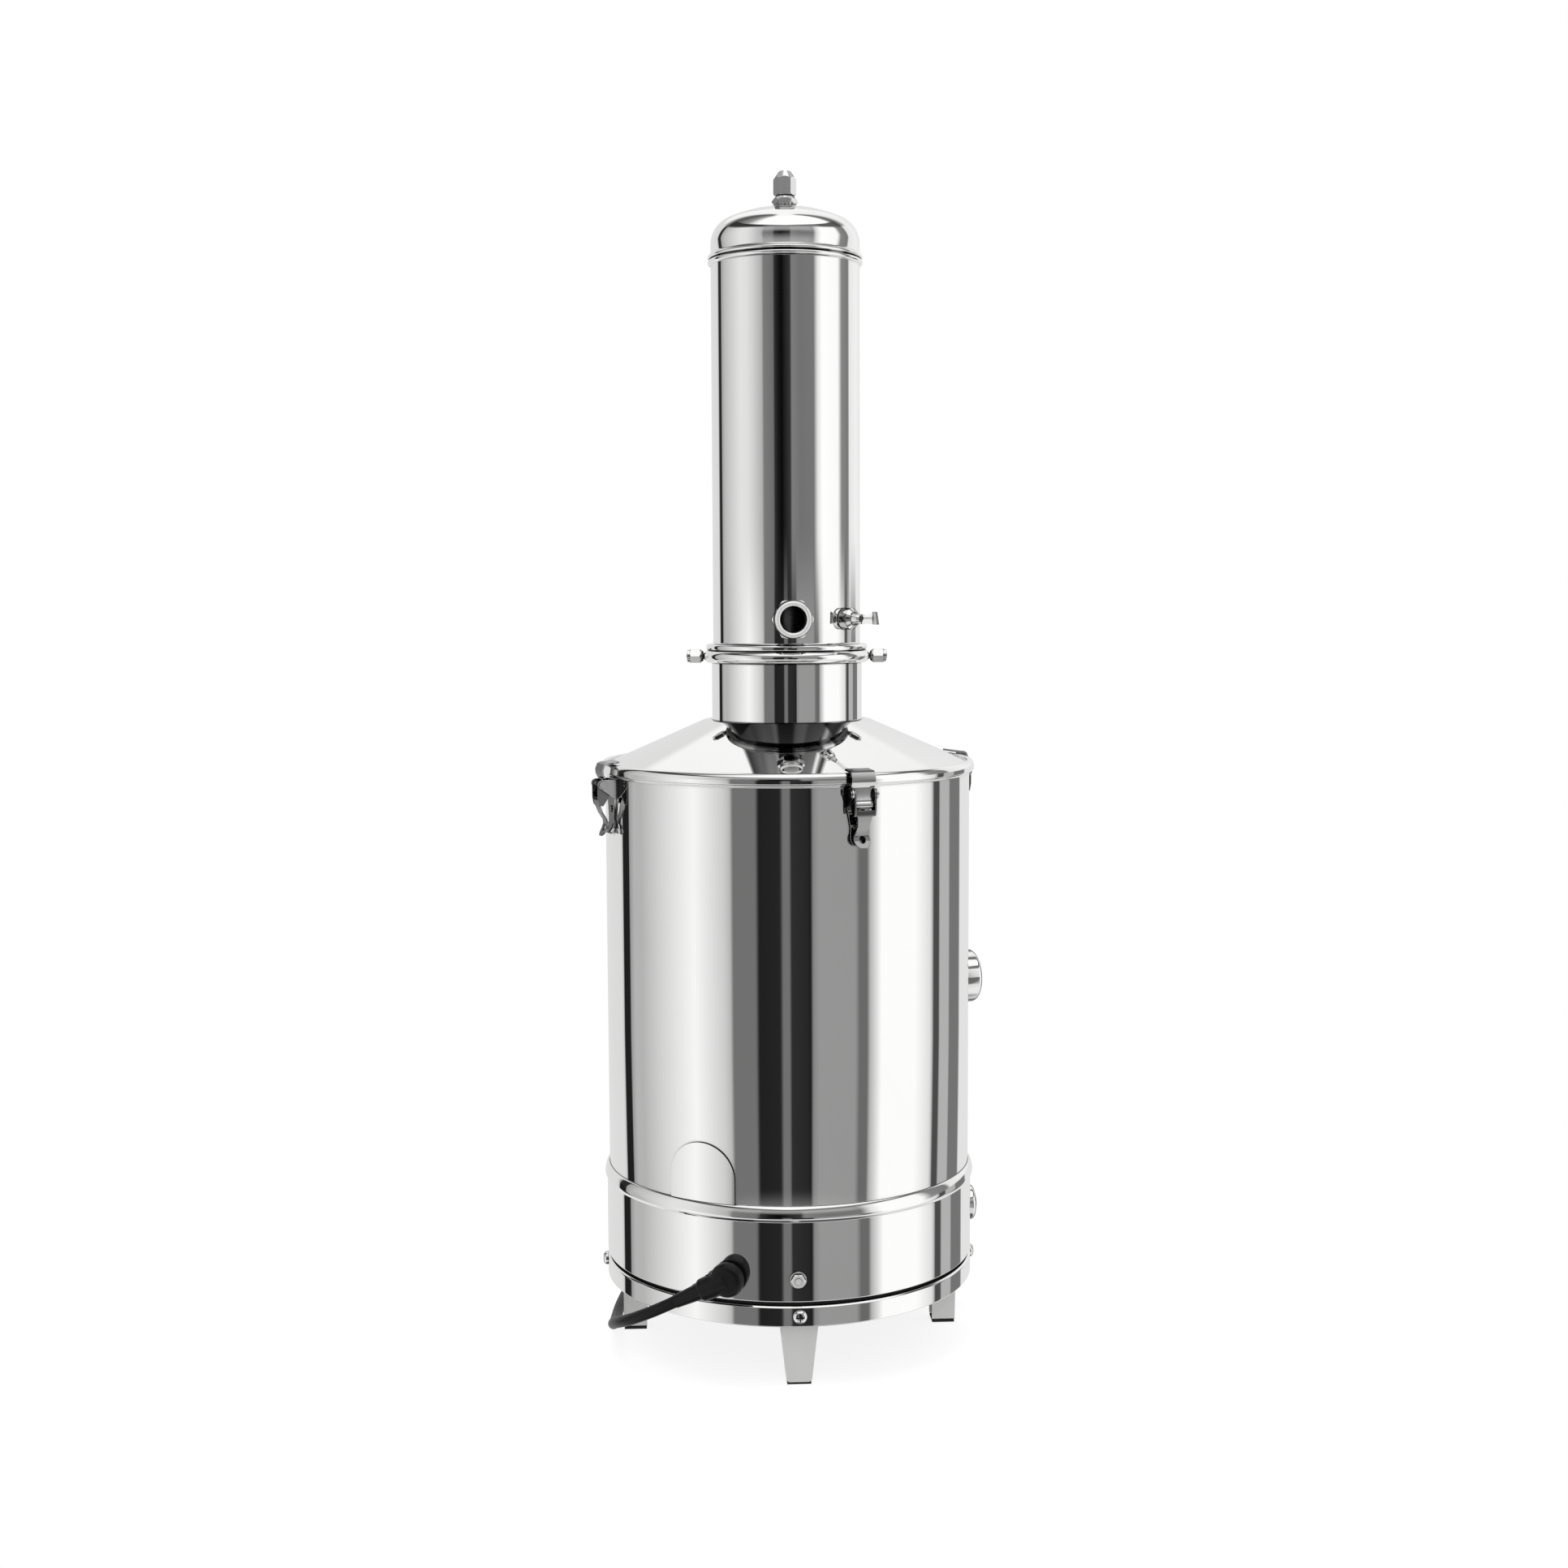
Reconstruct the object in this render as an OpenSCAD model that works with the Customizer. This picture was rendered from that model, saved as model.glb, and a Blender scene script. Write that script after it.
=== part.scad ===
// Countertop water distiller: a round boiler on a four-legged base, a conical lid held by four toggle
// latches, and a condenser tower that lifts off with the lid. Millimetres, +Z up, floor at z = 0,
// origin on the boiler's axis. Azimuths are in degrees from the front (-Y) towards +X.

/* [Boiler] */
// Outside radius of the boiler wall
body_r = 119.4; // [112:0.1:126]
// Height of the visible wall between the base band and the rim
wall_h = 259.1; // [200:0.1:320]
// Sheet thickness of the boiler, band, ring and lid
sheet = 1.2; // [0.8:0.1:1.6]
// How far the rolled rim stands out of the wall
rim_out = 1.9; // [1.4:0.1:2.4]

/* [Base] */
// Clear height under the base ring
leg_h = 40; // [30:1:60]
// Height of the base ring
ring_h = 13.2; // [11:0.1:20]
// Height of the dark groove between ring and band
groove_h = 2.4; // [1.5:0.1:4]
// Depth of that groove
groove_d = 3.6; // [2.5:0.1:5]
// Height of the base band with its lip
band_h = 60; // [54:1:80]
// How far the band stands out of the boiler wall
band_out = 1.8; // [1.5:0.1:3]
// How far the lip on top of the band stands out of the band
lip_out = 1.3; // [0.8:0.1:2]

/* [Legs] */
// Azimuth of the front leg; the others follow at quarter turns
leg_az = 3; // [-10:1:10]
// Width of a leg under the ring
leg_w = 24.4; // [20:0.1:30]
// Width of a leg at its foot
foot_w = 16.2; // [12:0.1:20]
// Depth of a leg's side flanges
leg_d = 15.4; // [10:0.1:20]
// Sheet thickness of a leg
leg_t = 1.5; // [1:0.1:2.5]
// Distance of a leg's face behind the base ring's face
leg_in = 10.2; // [8:0.1:16]
// Thickness of the rubber pad under a leg
pad_t = 1.4; // [1:0.1:3]

/* [Lid] */
// Slope of the cone
cone_slope = 23.9; // [18:0.1:30]
// Height of the lid's rolled bead over its lower edge
bead_h = 6.7; // [6:0.1:9]
// How far the bead stands out of the boiler's rim
bead_out = 1.2; // [1:0.1:2]
// Height of the sealing ring between boiler and lid
seal_h = 3.6; // [3:0.1:4]

/* [Tower] */
// Outside radius of the lower column
column_r = 49.05; // [44:0.05:56]
// Height of the column between cone and clamp ring
column_h = 37.8; // [30:0.1:60]
// Outside radius of the clamp ring
clamp_r = 54.5; // [52.5:0.1:62]
// Height of the clamp ring
clamp_h = 8.4; // [7:0.1:12]
// Height of the tower shell over the clamp ring
tower_h = 252.4; // [180:0.1:320]
// Sheet thickness of column, tower and dome
tower_t = 1.2; // [0.8:0.1:1.6]
// Height of the dome's straight skirt
skirt_h = 7.4; // [5:0.1:12]
// Radius of the dome's crown
crown_r = 95; // [80:1:120]
// Radius of the dome's knuckle
knuckle_r = 17; // [10:0.5:22]

/* [Fittings] */
// Azimuth of the water port
port_az = 4; // [-20:1:20]
// Height of the water port and the petcock over the clamp ring
port_up = 20.1; // [18:0.1:40]
// Radius of the water port's bore
port_bore = 8.3; // [6:0.1:9]
// Azimuth of the petcock
petcock_az = 50; // [40:1:80]
// Radius of the petcock's body
petcock_r = 6.9; // [6:0.1:9]
// Azimuth of the sight glass
sight_az = 110; // [95:1:120]
// Height of the sight glass over the floor
sight_z = 228; // [180:1:300]
// Outside radius of the sight glass's bezel
sight_r = 18; // [16:0.5:20]
// How far that bezel stands out of the wall
sight_out = 15.6; // [12:0.1:18]
// Azimuth of the power button
button_az = 98.5; // [94:0.5:104]
// Height of the power button over the floor
button_z = 77; // [76:1:84]
// Outside radius of the button's bezel
button_r = 11.9; // [10:0.1:13]
// Travel of the power button
button_travel = 2.5; // [1:0.1:3]
// Azimuth of the mains inlet
inlet_az = -17.2; // [-30:0.1:-10]
// Height of the mains inlet over the floor
inlet_z = 71.2; // [70:0.1:76]

/* [Latches] */
// Azimuth of the first latch; the others follow at quarter turns
latch_az = 21; // [15:1:30]
// Width of a latch's claw strap
claw_w = 15.6; // [12:0.1:20]
// Width of a latch's claw at its eye
claw_eye_w = 11.6; // [10:0.1:12]
// Radius of a latch's lever pins
pivot_r = 1.5; // [1.2:0.1:1.8]
// Radius of the pin that carries the claw
claw_pin_r = 1.6; // [1.2:0.1:1.7]

/* [Mains lead] */
// Diameter of the lead
cord_d = 7.4; // [6:0.1:7.6]

/* [Hidden] */
$fn = 96;

// Clearance between nested shells of one body, and between pieces that move
fit = 0.05;
gap = 0.3;

// Levels, from the floor up
ring_top = leg_h + ring_h;
band_low = ring_top + groove_h;
band_top = band_low + band_h;
floor_z = band_top - 3.6;
rim_low = band_top + wall_h - 1;
rim_top = rim_low + 2.9;
skirt_low = rim_top - 1.6;
bead_top = skirt_low + bead_h;
seal_top = rim_top + seal_h;

// Radii of boiler, base and lid
rim_r = body_r + rim_out;
bead_r = rim_r + bead_out;
band_r = body_r + band_out;
lip_r = band_r + lip_out;
ring_r = band_r + 0.1;
pan_r = band_r - groove_d;
inner_r = body_r - sheet;

// Lid and tower levels
neck_r = column_r + 5.4;
foot_r = bead_r - 5.9;
foot_z = bead_top - 1.6;
neck_z = foot_z + (foot_r - neck_r) * tan(cone_slope);
clamp_low = neck_z + column_h - 0.6;
clamp_top = clamp_low + clamp_h;
tower_r = column_r - 1.05;
spigot_r = column_r - tower_t - fit;
tower_top = clamp_top + tower_h;
tangent_z = tower_top + skirt_h;
dome_h = crown_r - sqrt(pow(crown_r - knuckle_r, 2) - pow(tower_r - knuckle_r, 2));
crown_z = tangent_z + dome_h;
port_z = clamp_top + port_up;
boss_top = crown_z + 0.2;

// A piece drawn at -Y goes to an azimuth
module at_az(az) { rotate([0, 0, az]) children(); }
// A disc or ring drawn along +Z goes to radius rho and height z, and faces outwards
module facing_out(az, rho, z) {
    at_az(az) translate([0, -rho, z]) rotate([90, 0, 0]) children();
}
// A profile drawn as (radius, height) is extruded sideways to a width
module side_profile(width) {
    rotate([90, 0, -90]) linear_extrude(width, center = true) children();
}
// A front outline drawn as (sideways, height) is extruded outwards from rho by depth
module front_outline(rho, depth) {
    translate([0, -rho, 0]) rotate([90, 0, 0]) linear_extrude(depth) children();
}

// Points of an arc about a centre
function arc(c, r, a0, a1, n) =
    [for (i = [0 : n]) c + r * [cos(a0 + (a1 - a0) * i / n), sin(a0 + (a1 - a0) * i / n)]];
function unit(v) = v / norm(v);
function left_of(v) = [-v[1], v[0]];
// Tangent of a path at point i
function heading(p, i) = unit(p[min(i + 1, len(p) - 1)] - p[max(i - 1, 0)]);
// Outline of a bent strip of thickness t along a path
function strip(p, t) = concat(
    [for (i = [0 : len(p) - 1]) p[i] + left_of(heading(p, i)) * t / 2],
    [for (i = [len(p) - 1 : -1 : 0]) p[i] - left_of(heading(p, i)) * t / 2]);

// Hexagon prism with both rims chamfered, along +Z, its corners turned down to round_r
module hex_nut(corner_r, h, bore_r, round_r = 0) {
    r = round_r > 0 ? round_r : corner_r;
    c = corner_r * 0.16;
    difference() {
        intersection() {
            cylinder(h = h, r = corner_r, $fn = 6);
            rotate_extrude() polygon([[0, 0], [r - c, 0], [r, c * 0.8],
                [r, h - c * 0.8], [r - c, h], [0, h]]);
        }
        if (bore_r > 0) translate([0, 0, -1]) cylinder(h = h + 2, r = bore_r);
    }
}

// Boiler: floor, wall and rolled rim, with a hole for the sight glass and for the floor fittings
element_r = 70;
element_d = 8;
terminal_x = 22;
probe_x = 30;
probe_y = 30;
module boiler_shell() {
    color("gainsboro") difference() {
        rotate_extrude($fn = 180) polygon(concat(
            [[0, floor_z], [body_r - 4, floor_z], [body_r - 1.2, floor_z + 1.2], [body_r, floor_z + 4],
                [body_r, rim_low]],
            arc([rim_r - 1, rim_low + 1], 1, -90, 0, 4), arc([rim_r - 1, rim_top - 1], 1, 0, 90, 4),
            [[inner_r, rim_top], [inner_r, floor_z + 5], [inner_r - 3.6, floor_z + sheet],
                [0, floor_z + sheet]]));
        facing_out(sight_az, inner_r - 6, sight_z) cylinder(h = 12, r = sight_r - 5.9);
        for (s = [-1, 1]) translate([s * terminal_x, sleeve_y, floor_z - 1])
            cylinder(h = 4, r = sleeve_r + fit);
        translate([probe_x, probe_y, floor_z - 1]) cylinder(h = 4, r = 3 + fit);
        for (k = [0 : 3], z = rivet_zs) facing_out(latch_az + k * 90, inner_r - 1, z)
            cylinder(h = 4, r = rivet_r + fit, $fn = 32);
    }
}

// Base band: a hem over the groove, the wall, the flared lip and an inner shelf under the boiler
module base_band() {
    color("gainsboro") difference() {
        rotate_extrude($fn = 180) polygon(concat(
            [[pan_r + fit, band_low], [band_r - 0.6, band_low], [band_r, band_low + 0.6],
                [band_r, band_top - 9.4]],
            [[lip_r - 0.5, band_top - 8.2], [lip_r, band_top - 7.2], [lip_r, band_top - 5.8],
                [lip_r - 0.9, band_top - 3], [body_r + 1, band_top - 0.3], [body_r + fit, band_top]],
            [[body_r + fit, floor_z - fit], [body_r - 8, floor_z - fit],
                [body_r - 8, floor_z - sheet - fit], [band_r - sheet, floor_z - sheet - fit],
                [band_r - sheet, band_low + sheet], [pan_r + fit, band_low + sheet]]));
        facing_out(button_az, band_r - 6, button_z) cylinder(h = 12, r = button_r - 2.9);
        facing_out(inlet_az, band_r - 6, inlet_z) cylinder(h = 12, r = inlet_r + fit);
        facing_out(earth_az, band_r - 6, earth_z) cylinder(h = 12, r = 2 + fit);
    }
}

// Base pan: the floor plate under the electrics and the upright wall behind the groove
pan_z = leg_h + 10;
module base_pan() {
    color("silver") difference() {
        rotate_extrude($fn = 180) polygon([[0, pan_z], [pan_r, pan_z], [pan_r, band_low + 4],
            [pan_r - sheet, band_low + 4], [pan_r - sheet, pan_z + sheet], [0, pan_z + sheet]]);
        for (ring = [0 : 2], k = [0 : 11]) rotate([0, 0, k * 30 + ring * 15])
            translate([26 + ring * 14, 0, pan_z - 1]) cylinder(h = sheet + 2, r = 2.6, $fn = 24);
    }
}

// Base ring: a plain skirt with a top flange that closes on the pan's wall
module base_ring() {
    color("gainsboro") difference() {
        rotate_extrude($fn = 180) polygon([[ring_r - sheet, leg_h + 0.4], [ring_r - 0.6, leg_h],
            [ring_r, leg_h + 0.5], [ring_r, ring_top - 1], [ring_r - 1, ring_top],
            [pan_r + fit, ring_top], [pan_r + fit, ring_top - sheet],
            [ring_r - sheet, ring_top - sheet]]);
        for (k = [0 : 3]) facing_out(leg_az + k * 90, ring_r - 6, screw_z)
            cylinder(h = 12, r = shank_r + fit);
    }
}

// Legs: tapered channels with their web outwards, and an ear that the ring's screw holds
screw_z = leg_h + 7;
leg_face = ring_r - leg_in;
ear_w = 13;
function leg_outline(inset) = concat(
    [[-leg_w / 2 + inset, pan_z - fit], [-leg_w / 2 + inset, leg_h],
        [-foot_w / 2 + inset, 2.5 + pad_t]],
    arc([-foot_w / 2 + inset + 2.5, pad_t + 2.5], 2.5, 180, 270, 5),
    arc([foot_w / 2 - inset - 2.5, pad_t + 2.5], 2.5, 270, 360, 5),
    [[foot_w / 2 - inset, 2.5 + pad_t], [leg_w / 2 - inset, leg_h],
        [leg_w / 2 - inset, pan_z - fit]]);
module leg(k) {
    color("silver") at_az(leg_az + k * 90) {
        difference() {
            front_outline(leg_face - leg_d, leg_d) polygon(leg_outline(0));
            translate([0, 0, -leg_t]) front_outline(leg_face - leg_d - 1, leg_d + 1 - leg_t)
                polygon(concat([[leg_w / 2 - leg_t, pan_z + 3], [-leg_w / 2 + leg_t, pan_z + 3]],
                    [[-leg_w / 2 + leg_t, leg_h], [-foot_w / 2 + leg_t, pad_t - 2],
                        [foot_w / 2 - leg_t, pad_t - 2], [leg_w / 2 - leg_t, leg_h]]));
        }
        difference() {
            intersection() {
                union() {
                    front_outline(leg_face - 1, leg_in + 2)
                        polygon([[-ear_w / 2, pan_z - fit - leg_t], [ear_w / 2, pan_z - fit - leg_t],
                            [ear_w / 2, pan_z - fit], [-ear_w / 2, pan_z - fit]]);
                    front_outline(ring_r - sheet - leg_t - 0.4, leg_t + 3)
                        polygon([[-ear_w / 2, leg_h + 1.5], [ear_w / 2, leg_h + 1.5],
                            [ear_w / 2, pan_z - fit], [-ear_w / 2, pan_z - fit]]);
                }
                cylinder(h = pan_z, r = ring_r - sheet - fit);
            }
            facing_out(0, ring_r - 9, screw_z) cylinder(h = 12, r = shank_r + fit);
        }
    }
}
module leg_front() { leg(0); }
module leg_right() { leg(1); }
module leg_back() { leg(2); }
module leg_left() { leg(3); }

// Rubber pads that close the channels' lower ends
module foot_pads() {
    color("dimgray") for (k = [0 : 3]) at_az(leg_az + k * 90)
        translate([-foot_w / 2 + 0.6, -leg_face + 0.3, 0])
            cube([foot_w - 1.2, leg_d - 0.6, pad_t]);
}

// Pan-head screws with a cross recess, through the ring into the legs' ears
pan_head_r = 4.4;
pan_head_h = 3.3;
pan_edge = 0.7;
cross_l = 5.2;
cross_w = 0.8;
shank_r = 1.9;
shank_l = 5;
module leg_screws() {
    round_r = pan_head_h - pan_edge - 0.1;
    color("silver") for (k = [0 : 3]) facing_out(leg_az + k * 90, ring_r, screw_z) {
        difference() {
            rotate_extrude($fn = 48) polygon(concat([[0, 0], [pan_head_r, 0], [pan_head_r, pan_edge]],
                arc([pan_head_r - round_r, pan_edge], round_r, 10, 80, 5), [[0, pan_head_h]]));
            for (a = [0, 90]) rotate([0, 0, a]) translate([-cross_l / 2, -cross_w / 2, pan_head_h * 2 / 3])
                cube([cross_l, cross_w, pan_head_h]);
        }
        translate([0, 0, -shank_l]) cylinder(h = shank_l + 0.5, r = shank_r, $fn = 32);
    }
}

// Earth terminal on the band: washer, nut and the end of its stud
earth_az = 2.5;
earth_z = inlet_z - 0.9;
module earth_terminal() {
    color("silver") facing_out(earth_az, band_r, earth_z) {
        translate([0, 0, 0.05]) cylinder(h = 0.9, r = 5.2);
        translate([0, 0, 0.9]) hex_nut(4.6, 3, 0);
        translate([0, 0, -5]) cylinder(h = 9.6, r = 2);
    }
}

// Arched plate on the wall, over the band
arch_az = -26.9;
arch_half_w = 22.3;
arch_up = 37;
arch_t = 1.1;
module arch_cover() {
    color("gainsboro") at_az(arch_az) intersection() {
        difference() {
            translate([0, 0, band_top + fit]) cylinder(h = arch_up + 4, r = body_r + arch_t, $fn = 180);
            cylinder(h = band_top + arch_up + 9, r = body_r + fit / 2, $fn = 180);
        }
        translate([0, 0, band_top]) front_outline(body_r - 8, 16) union() {
            translate([0, arch_up - arch_half_w]) circle(r = arch_half_w);
            translate([-arch_half_w, 0]) square([2 * arch_half_w, arch_up - arch_half_w]);
        }
    }
}

// Mains inlet behind the connector
inlet_r = 10.2;
module inlet_socket() {
    color("black") difference() {
        union() {
            facing_out(inlet_az, band_r - 20, inlet_z) cylinder(h = 20.6, r = inlet_r);
            facing_out(inlet_az, band_r - 24, inlet_z) cylinder(h = 4.5, r = inlet_r - 3);
        }
        for (s = [-1, 0, 1]) facing_out(inlet_az, band_r - 12, inlet_z)
            translate([s * 4.4, s == 0 ? 2.6 : -1.6, 0]) cube([2.6, 4.6, 30], center = true);
    }
}

// Power button: a fixed domed bezel whose shank passes the band, and the cap that moves in it
button_lip = 4.6;
cap_r = button_r - 5 - gap;
module button_bezel() {
    color("silver") facing_out(button_az, band_r - 7, button_z) {
        rotate_extrude() polygon(concat([[button_r - 5, 0], [button_r - 3, 0], [button_r - 3, 7.05],
            [button_r, 7.05], [button_r, 8 + button_lip - 3]],
            arc([button_r - 3, 8 + button_lip - 3], 3, 0, 80, 6), [[button_r - 5, 8 + button_lip]]));
    }
}
module power_button() {
    top = button_lip + button_travel - 0.9;
    color("silver") facing_out(button_az, band_r - 9, button_z) rotate_extrude() polygon(concat(
        [[0, 0], [button_r - 3.6, 0], [button_r - 3.6, 1.7], [cap_r, 1.7], [cap_r, 8 + top]],
        arc([cap_r - 1.6, 8 + top], 1.6, 0, 70, 5), [[0, 10.2 + top]]));
}

// Sight glass: barrel bezel with its shank, seal, pane and the ring nut inside
sight_shank = sight_r - 6;
module sight_bezel() {
    color("silver") difference() {
        union() {
            difference() {
                facing_out(sight_az, body_r - 4, sight_z) rotate_extrude() polygon(concat(
                    [[0, 0], [sight_r, 0], [sight_r, sight_out + 1]],
                    arc([sight_r - 3, sight_out + 1], 3, 0, 84, 8), [[0, sight_out + 4]]));
                cylinder(h = band_top + wall_h, r = body_r + fit, $fn = 180);
            }
            facing_out(sight_az, inner_r - 9, sight_z) cylinder(h = 12, r = sight_shank);
        }
        facing_out(sight_az, body_r - 20, sight_z) cylinder(h = 20 + sight_out + 10, r = sight_r - 8);
        facing_out(sight_az, body_r + sight_out - 5, sight_z) cylinder(h = 20, r = sight_r - 6);
    }
}
module sight_gasket() {
    color("dimgray") facing_out(sight_az, body_r + sight_out - 5, sight_z) difference() {
        cylinder(h = 1, r = sight_r - 6 - fit);
        translate([0, 0, -1]) cylinder(h = 3, r = sight_r - 8.4);
    }
}
module sight_glass() {
    color("lightcyan", 0.5) facing_out(sight_az, body_r + sight_out - 4, sight_z)
        cylinder(h = 2.6, r = sight_r - 6 - fit);
}
module sight_nut() {
    color("silver") facing_out(sight_az, inner_r - 7.6, sight_z)
        hex_nut(sight_r - 0.5, 6, sight_shank + fit);
}

// Heating element: an open loop over the boiler floor, with a sleeve at each end that passes the floor
element_up = 16;
sleeve_wall = 1.4;
sleeve_down = 11;
pin_l = 7;
element_z = floor_z + element_up;
sleeve_r = element_d / 2 + sleeve_wall;
element_open = 2 * asin(terminal_x / element_r);
sleeve_y = -element_r * cos(element_open / 2);
module heating_element() {
    color("silver") {
        translate([0, 0, element_z]) rotate([0, 0, -90 + element_open / 2])
            rotate_extrude(angle = 360 - element_open) translate([element_r, 0])
                circle(d = element_d, $fn = 32);
        for (s = [-1, 1]) translate([s * terminal_x, sleeve_y, floor_z - sleeve_down]) {
            cylinder(h = element_up + sleeve_down + element_d / 2 + 0.8, r = sleeve_r);
            translate([0, 0, -pin_l]) cylinder(h = pin_l + 1, r = 1.6, $fn = 32);
        }
    }
}
module element_nuts() {
    color("goldenrod") for (s = [-1, 1]) translate([s * terminal_x, sleeve_y, floor_z - 5.05])
        hex_nut(9.6, 5, sleeve_r + fit);
}
module temperature_probe() {
    color("silver") translate([probe_x, probe_y, floor_z - 7]) {
        cylinder(h = 58, r = 3);
        translate([0, 0, 58]) sphere(r = 3);
        translate([0, 0, 7 + sheet]) cylinder(h = 3, r = 6);
    }
}
module thermal_cutout() {
    color("dimgray") translate([-34, 34, floor_z - 9]) {
        translate([0, 0, 6]) cylinder(h = 3 - fit, r = 12);
        cylinder(h = 6.5, r = 8.5);
        for (s = [-1, 1]) translate([s * 5 - 0.4, -3, -6]) cube([0.8, 6, 7]);
    }
}

// Latches. The lever turns on the base's ears, the claw turns on the lever's own pin,
// and the strap runs up between the cheeks and over the lid's bead.
ear_t = 1;
cheek_t = 1;
pivot = [bead_r + 5.7, rim_top - 7.3];
claw_pin = pivot - [1.4, 6.7];
cheek_in = claw_eye_w / 2 + gap;
cheek_out = cheek_in + cheek_t;
ear_in = cheek_out + gap;
base_half = ear_in + ear_t;
latch_t = 1.2;
lever_tip = claw_pin[1] - 26.6;
finger_r = 5.4;
foot_plate_r = 6;

// Base plate, its flared lower end and both ears
module latch_base(k) {
    top_z = pivot[1] + 3.2;
    color("silver") at_az(latch_az + k * 90) difference() {
        union() {
            intersection() {
                side_profile(2 * base_half) polygon(strip([[body_r + 0.4, top_z],
                    [body_r + 0.4, lever_tip + 9], [body_r + 1.2, lever_tip + 5.5],
                    [body_r + 3.2, lever_tip + 1.6]], latch_t + 0.4));
                front_outline(body_r - 4, 20) union() {
                    for (s = [-1, 1]) polygon([[0, top_z + 1], [s * (base_half + 0.9), top_z + 1],
                        [s * (base_half + 0.9), pivot[1] - 3], [s * (base_half - 1), pivot[1] - 11],
                        [s * (foot_plate_r - 0.4), lever_tip + 12], [s * foot_plate_r, lever_tip + 6],
                        [0, lever_tip + 6]]);
                    translate([0, lever_tip + 6]) circle(r = foot_plate_r);
                }
            }
            for (s = [-1, 1]) translate([s * (ear_in + ear_t / 2), 0, 0]) side_profile(ear_t) {
                translate(pivot) circle(r = 3);
                polygon([[body_r - 1, top_z], [body_r - 1, pivot[1] - 9], [body_r + 1, pivot[1] - 9],
                    [pivot[0] + 2.4, pivot[1] - 1.8], [pivot[0] + 2, pivot[1] + 2.2],
                    [pivot[0], pivot[1] + 3]]);
            }
        }
        cylinder(h = rim_low + 20, r = body_r, $fn = 180);
        translate([0, -pivot[0], pivot[1]]) rotate([0, 90, 0])
            cylinder(h = 40, r = pivot_r + 0.02, center = true, $fn = 32);
        for (z = rivet_zs) facing_out(0, body_r - 2, z)
            cylinder(h = 8, r = rivet_r + fit, $fn = 32);
    }
}
module latch_base_1() { latch_base(0); }
module latch_base_2() { latch_base(1); }
module latch_base_3() { latch_base(2); }
module latch_base_4() { latch_base(3); }

// Short rivets through each ear and cheek, with a head outside
module latch_pins() {
    color("silver") for (k = [0 : 3], s = [-1, 1]) at_az(latch_az + k * 90)
        translate([s * (cheek_in + 0.05), -pivot[0], pivot[1]]) rotate([0, s * 90, 0]) {
            cylinder(h = base_half - cheek_in, r = pivot_r, $fn = 32);
            translate([0, 0, base_half - cheek_in]) cylinder(h = 0.6, r = pivot_r + 0.9, $fn = 32);
        }
}

// Rivets that hold the base plates, with a head on either side of wall and plate
rivet_r = 1.2;
rivet_head_r = 2.2;
rivet_head_h = 0.7;
rivet_up = 1;
rivet_down = 16;
rivet_zs = [pivot[1] - rivet_up, pivot[1] - rivet_down];
module latch_rivets() {
    plate_face = body_r + latch_t / 2 + 0.6;
    color("silver") for (k = [0 : 3], z = rivet_zs) at_az(latch_az + k * 90) {
        facing_out(0, inner_r - rivet_head_h / 2 - fit, z)
            cylinder(h = plate_face - inner_r + rivet_head_h / 2 + 2 * fit, r = rivet_r, $fn = 32);
        facing_out(0, plate_face, z) cylinder(h = rivet_head_h, r = rivet_head_r, $fn = 32);
        facing_out(0, inner_r - rivet_head_h - fit, z)
            cylinder(h = rivet_head_h, r = rivet_head_r, $fn = 32);
    }
}

// Lever: cheeks on both pins, a narrow plate with a round flared end, and the claw's pin
module latch_lever(k) {
    p = pivot;
    q = claw_pin;
    plate = [[p[0] + 1.7, q[1] - 3.2], [p[0] + 1.3, q[1] - 6.6], [p[0] - 0.6, q[1] - 11.5],
        [p[0] - 3.4, q[1] - 16], [p[0] - 4.1, q[1] - 19], [p[0] - 3.2, q[1] - 22],
        [p[0] - 0.4, lever_tip]];
    color("silver") at_az(latch_az + k * 90) difference() {
        union() {
            intersection() {
                side_profile(2 * cheek_out) polygon(strip(plate, latch_t));
                front_outline(body_r - 4, 24) union() {
                    for (s = [-1, 1]) polygon([[0, q[1]], [s * cheek_out, q[1]],
                        [s * cheek_out, q[1] - 4.4], [s * (finger_r - 0.8), q[1] - 7.4],
                        [s * (finger_r - 1.7), q[1] - 13], [s * (finger_r - 1.6), q[1] - 16.4],
                        [s * (finger_r - 0.6), q[1] - 18.8], [0, q[1] - 21.2]]);
                    translate([0, lever_tip + finger_r]) circle(r = finger_r);
                }
            }
            for (s = [-1, 1]) translate([s * (cheek_in + cheek_t / 2), 0, 0]) side_profile(cheek_t) {
                translate(p) circle(r = 2.9);
                translate(q) circle(r = 3.1);
                polygon([[p[0] - 2.6, p[1] - 1.2], [q[0] - 3, q[1] + 0.8], [q[0] - 2.2, q[1] - 2.2],
                    [p[0] - 0.4, q[1] - 7], [p[0] + 2, q[1] - 6.6], [p[0] + 2.9, q[1] - 2],
                    [p[0] + 2.9, p[1]]]);
            }
            translate([0, -q[0], q[1]]) rotate([0, 90, 0])
                cylinder(h = 2 * cheek_out, r = claw_pin_r, center = true, $fn = 32);
        }
        translate([0, -p[0], p[1]]) rotate([0, 90, 0])
            cylinder(h = 40, r = pivot_r + fit, center = true, $fn = 32);
        facing_out(0, body_r, lever_tip + finger_r) cylinder(h = 20, r = 2.3, $fn = 32);
    }
}
module latch_lever_1() { latch_lever(0); }
module latch_lever_2() { latch_lever(1); }
module latch_lever_3() { latch_lever(2); }
module latch_lever_4() { latch_lever(3); }

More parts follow.
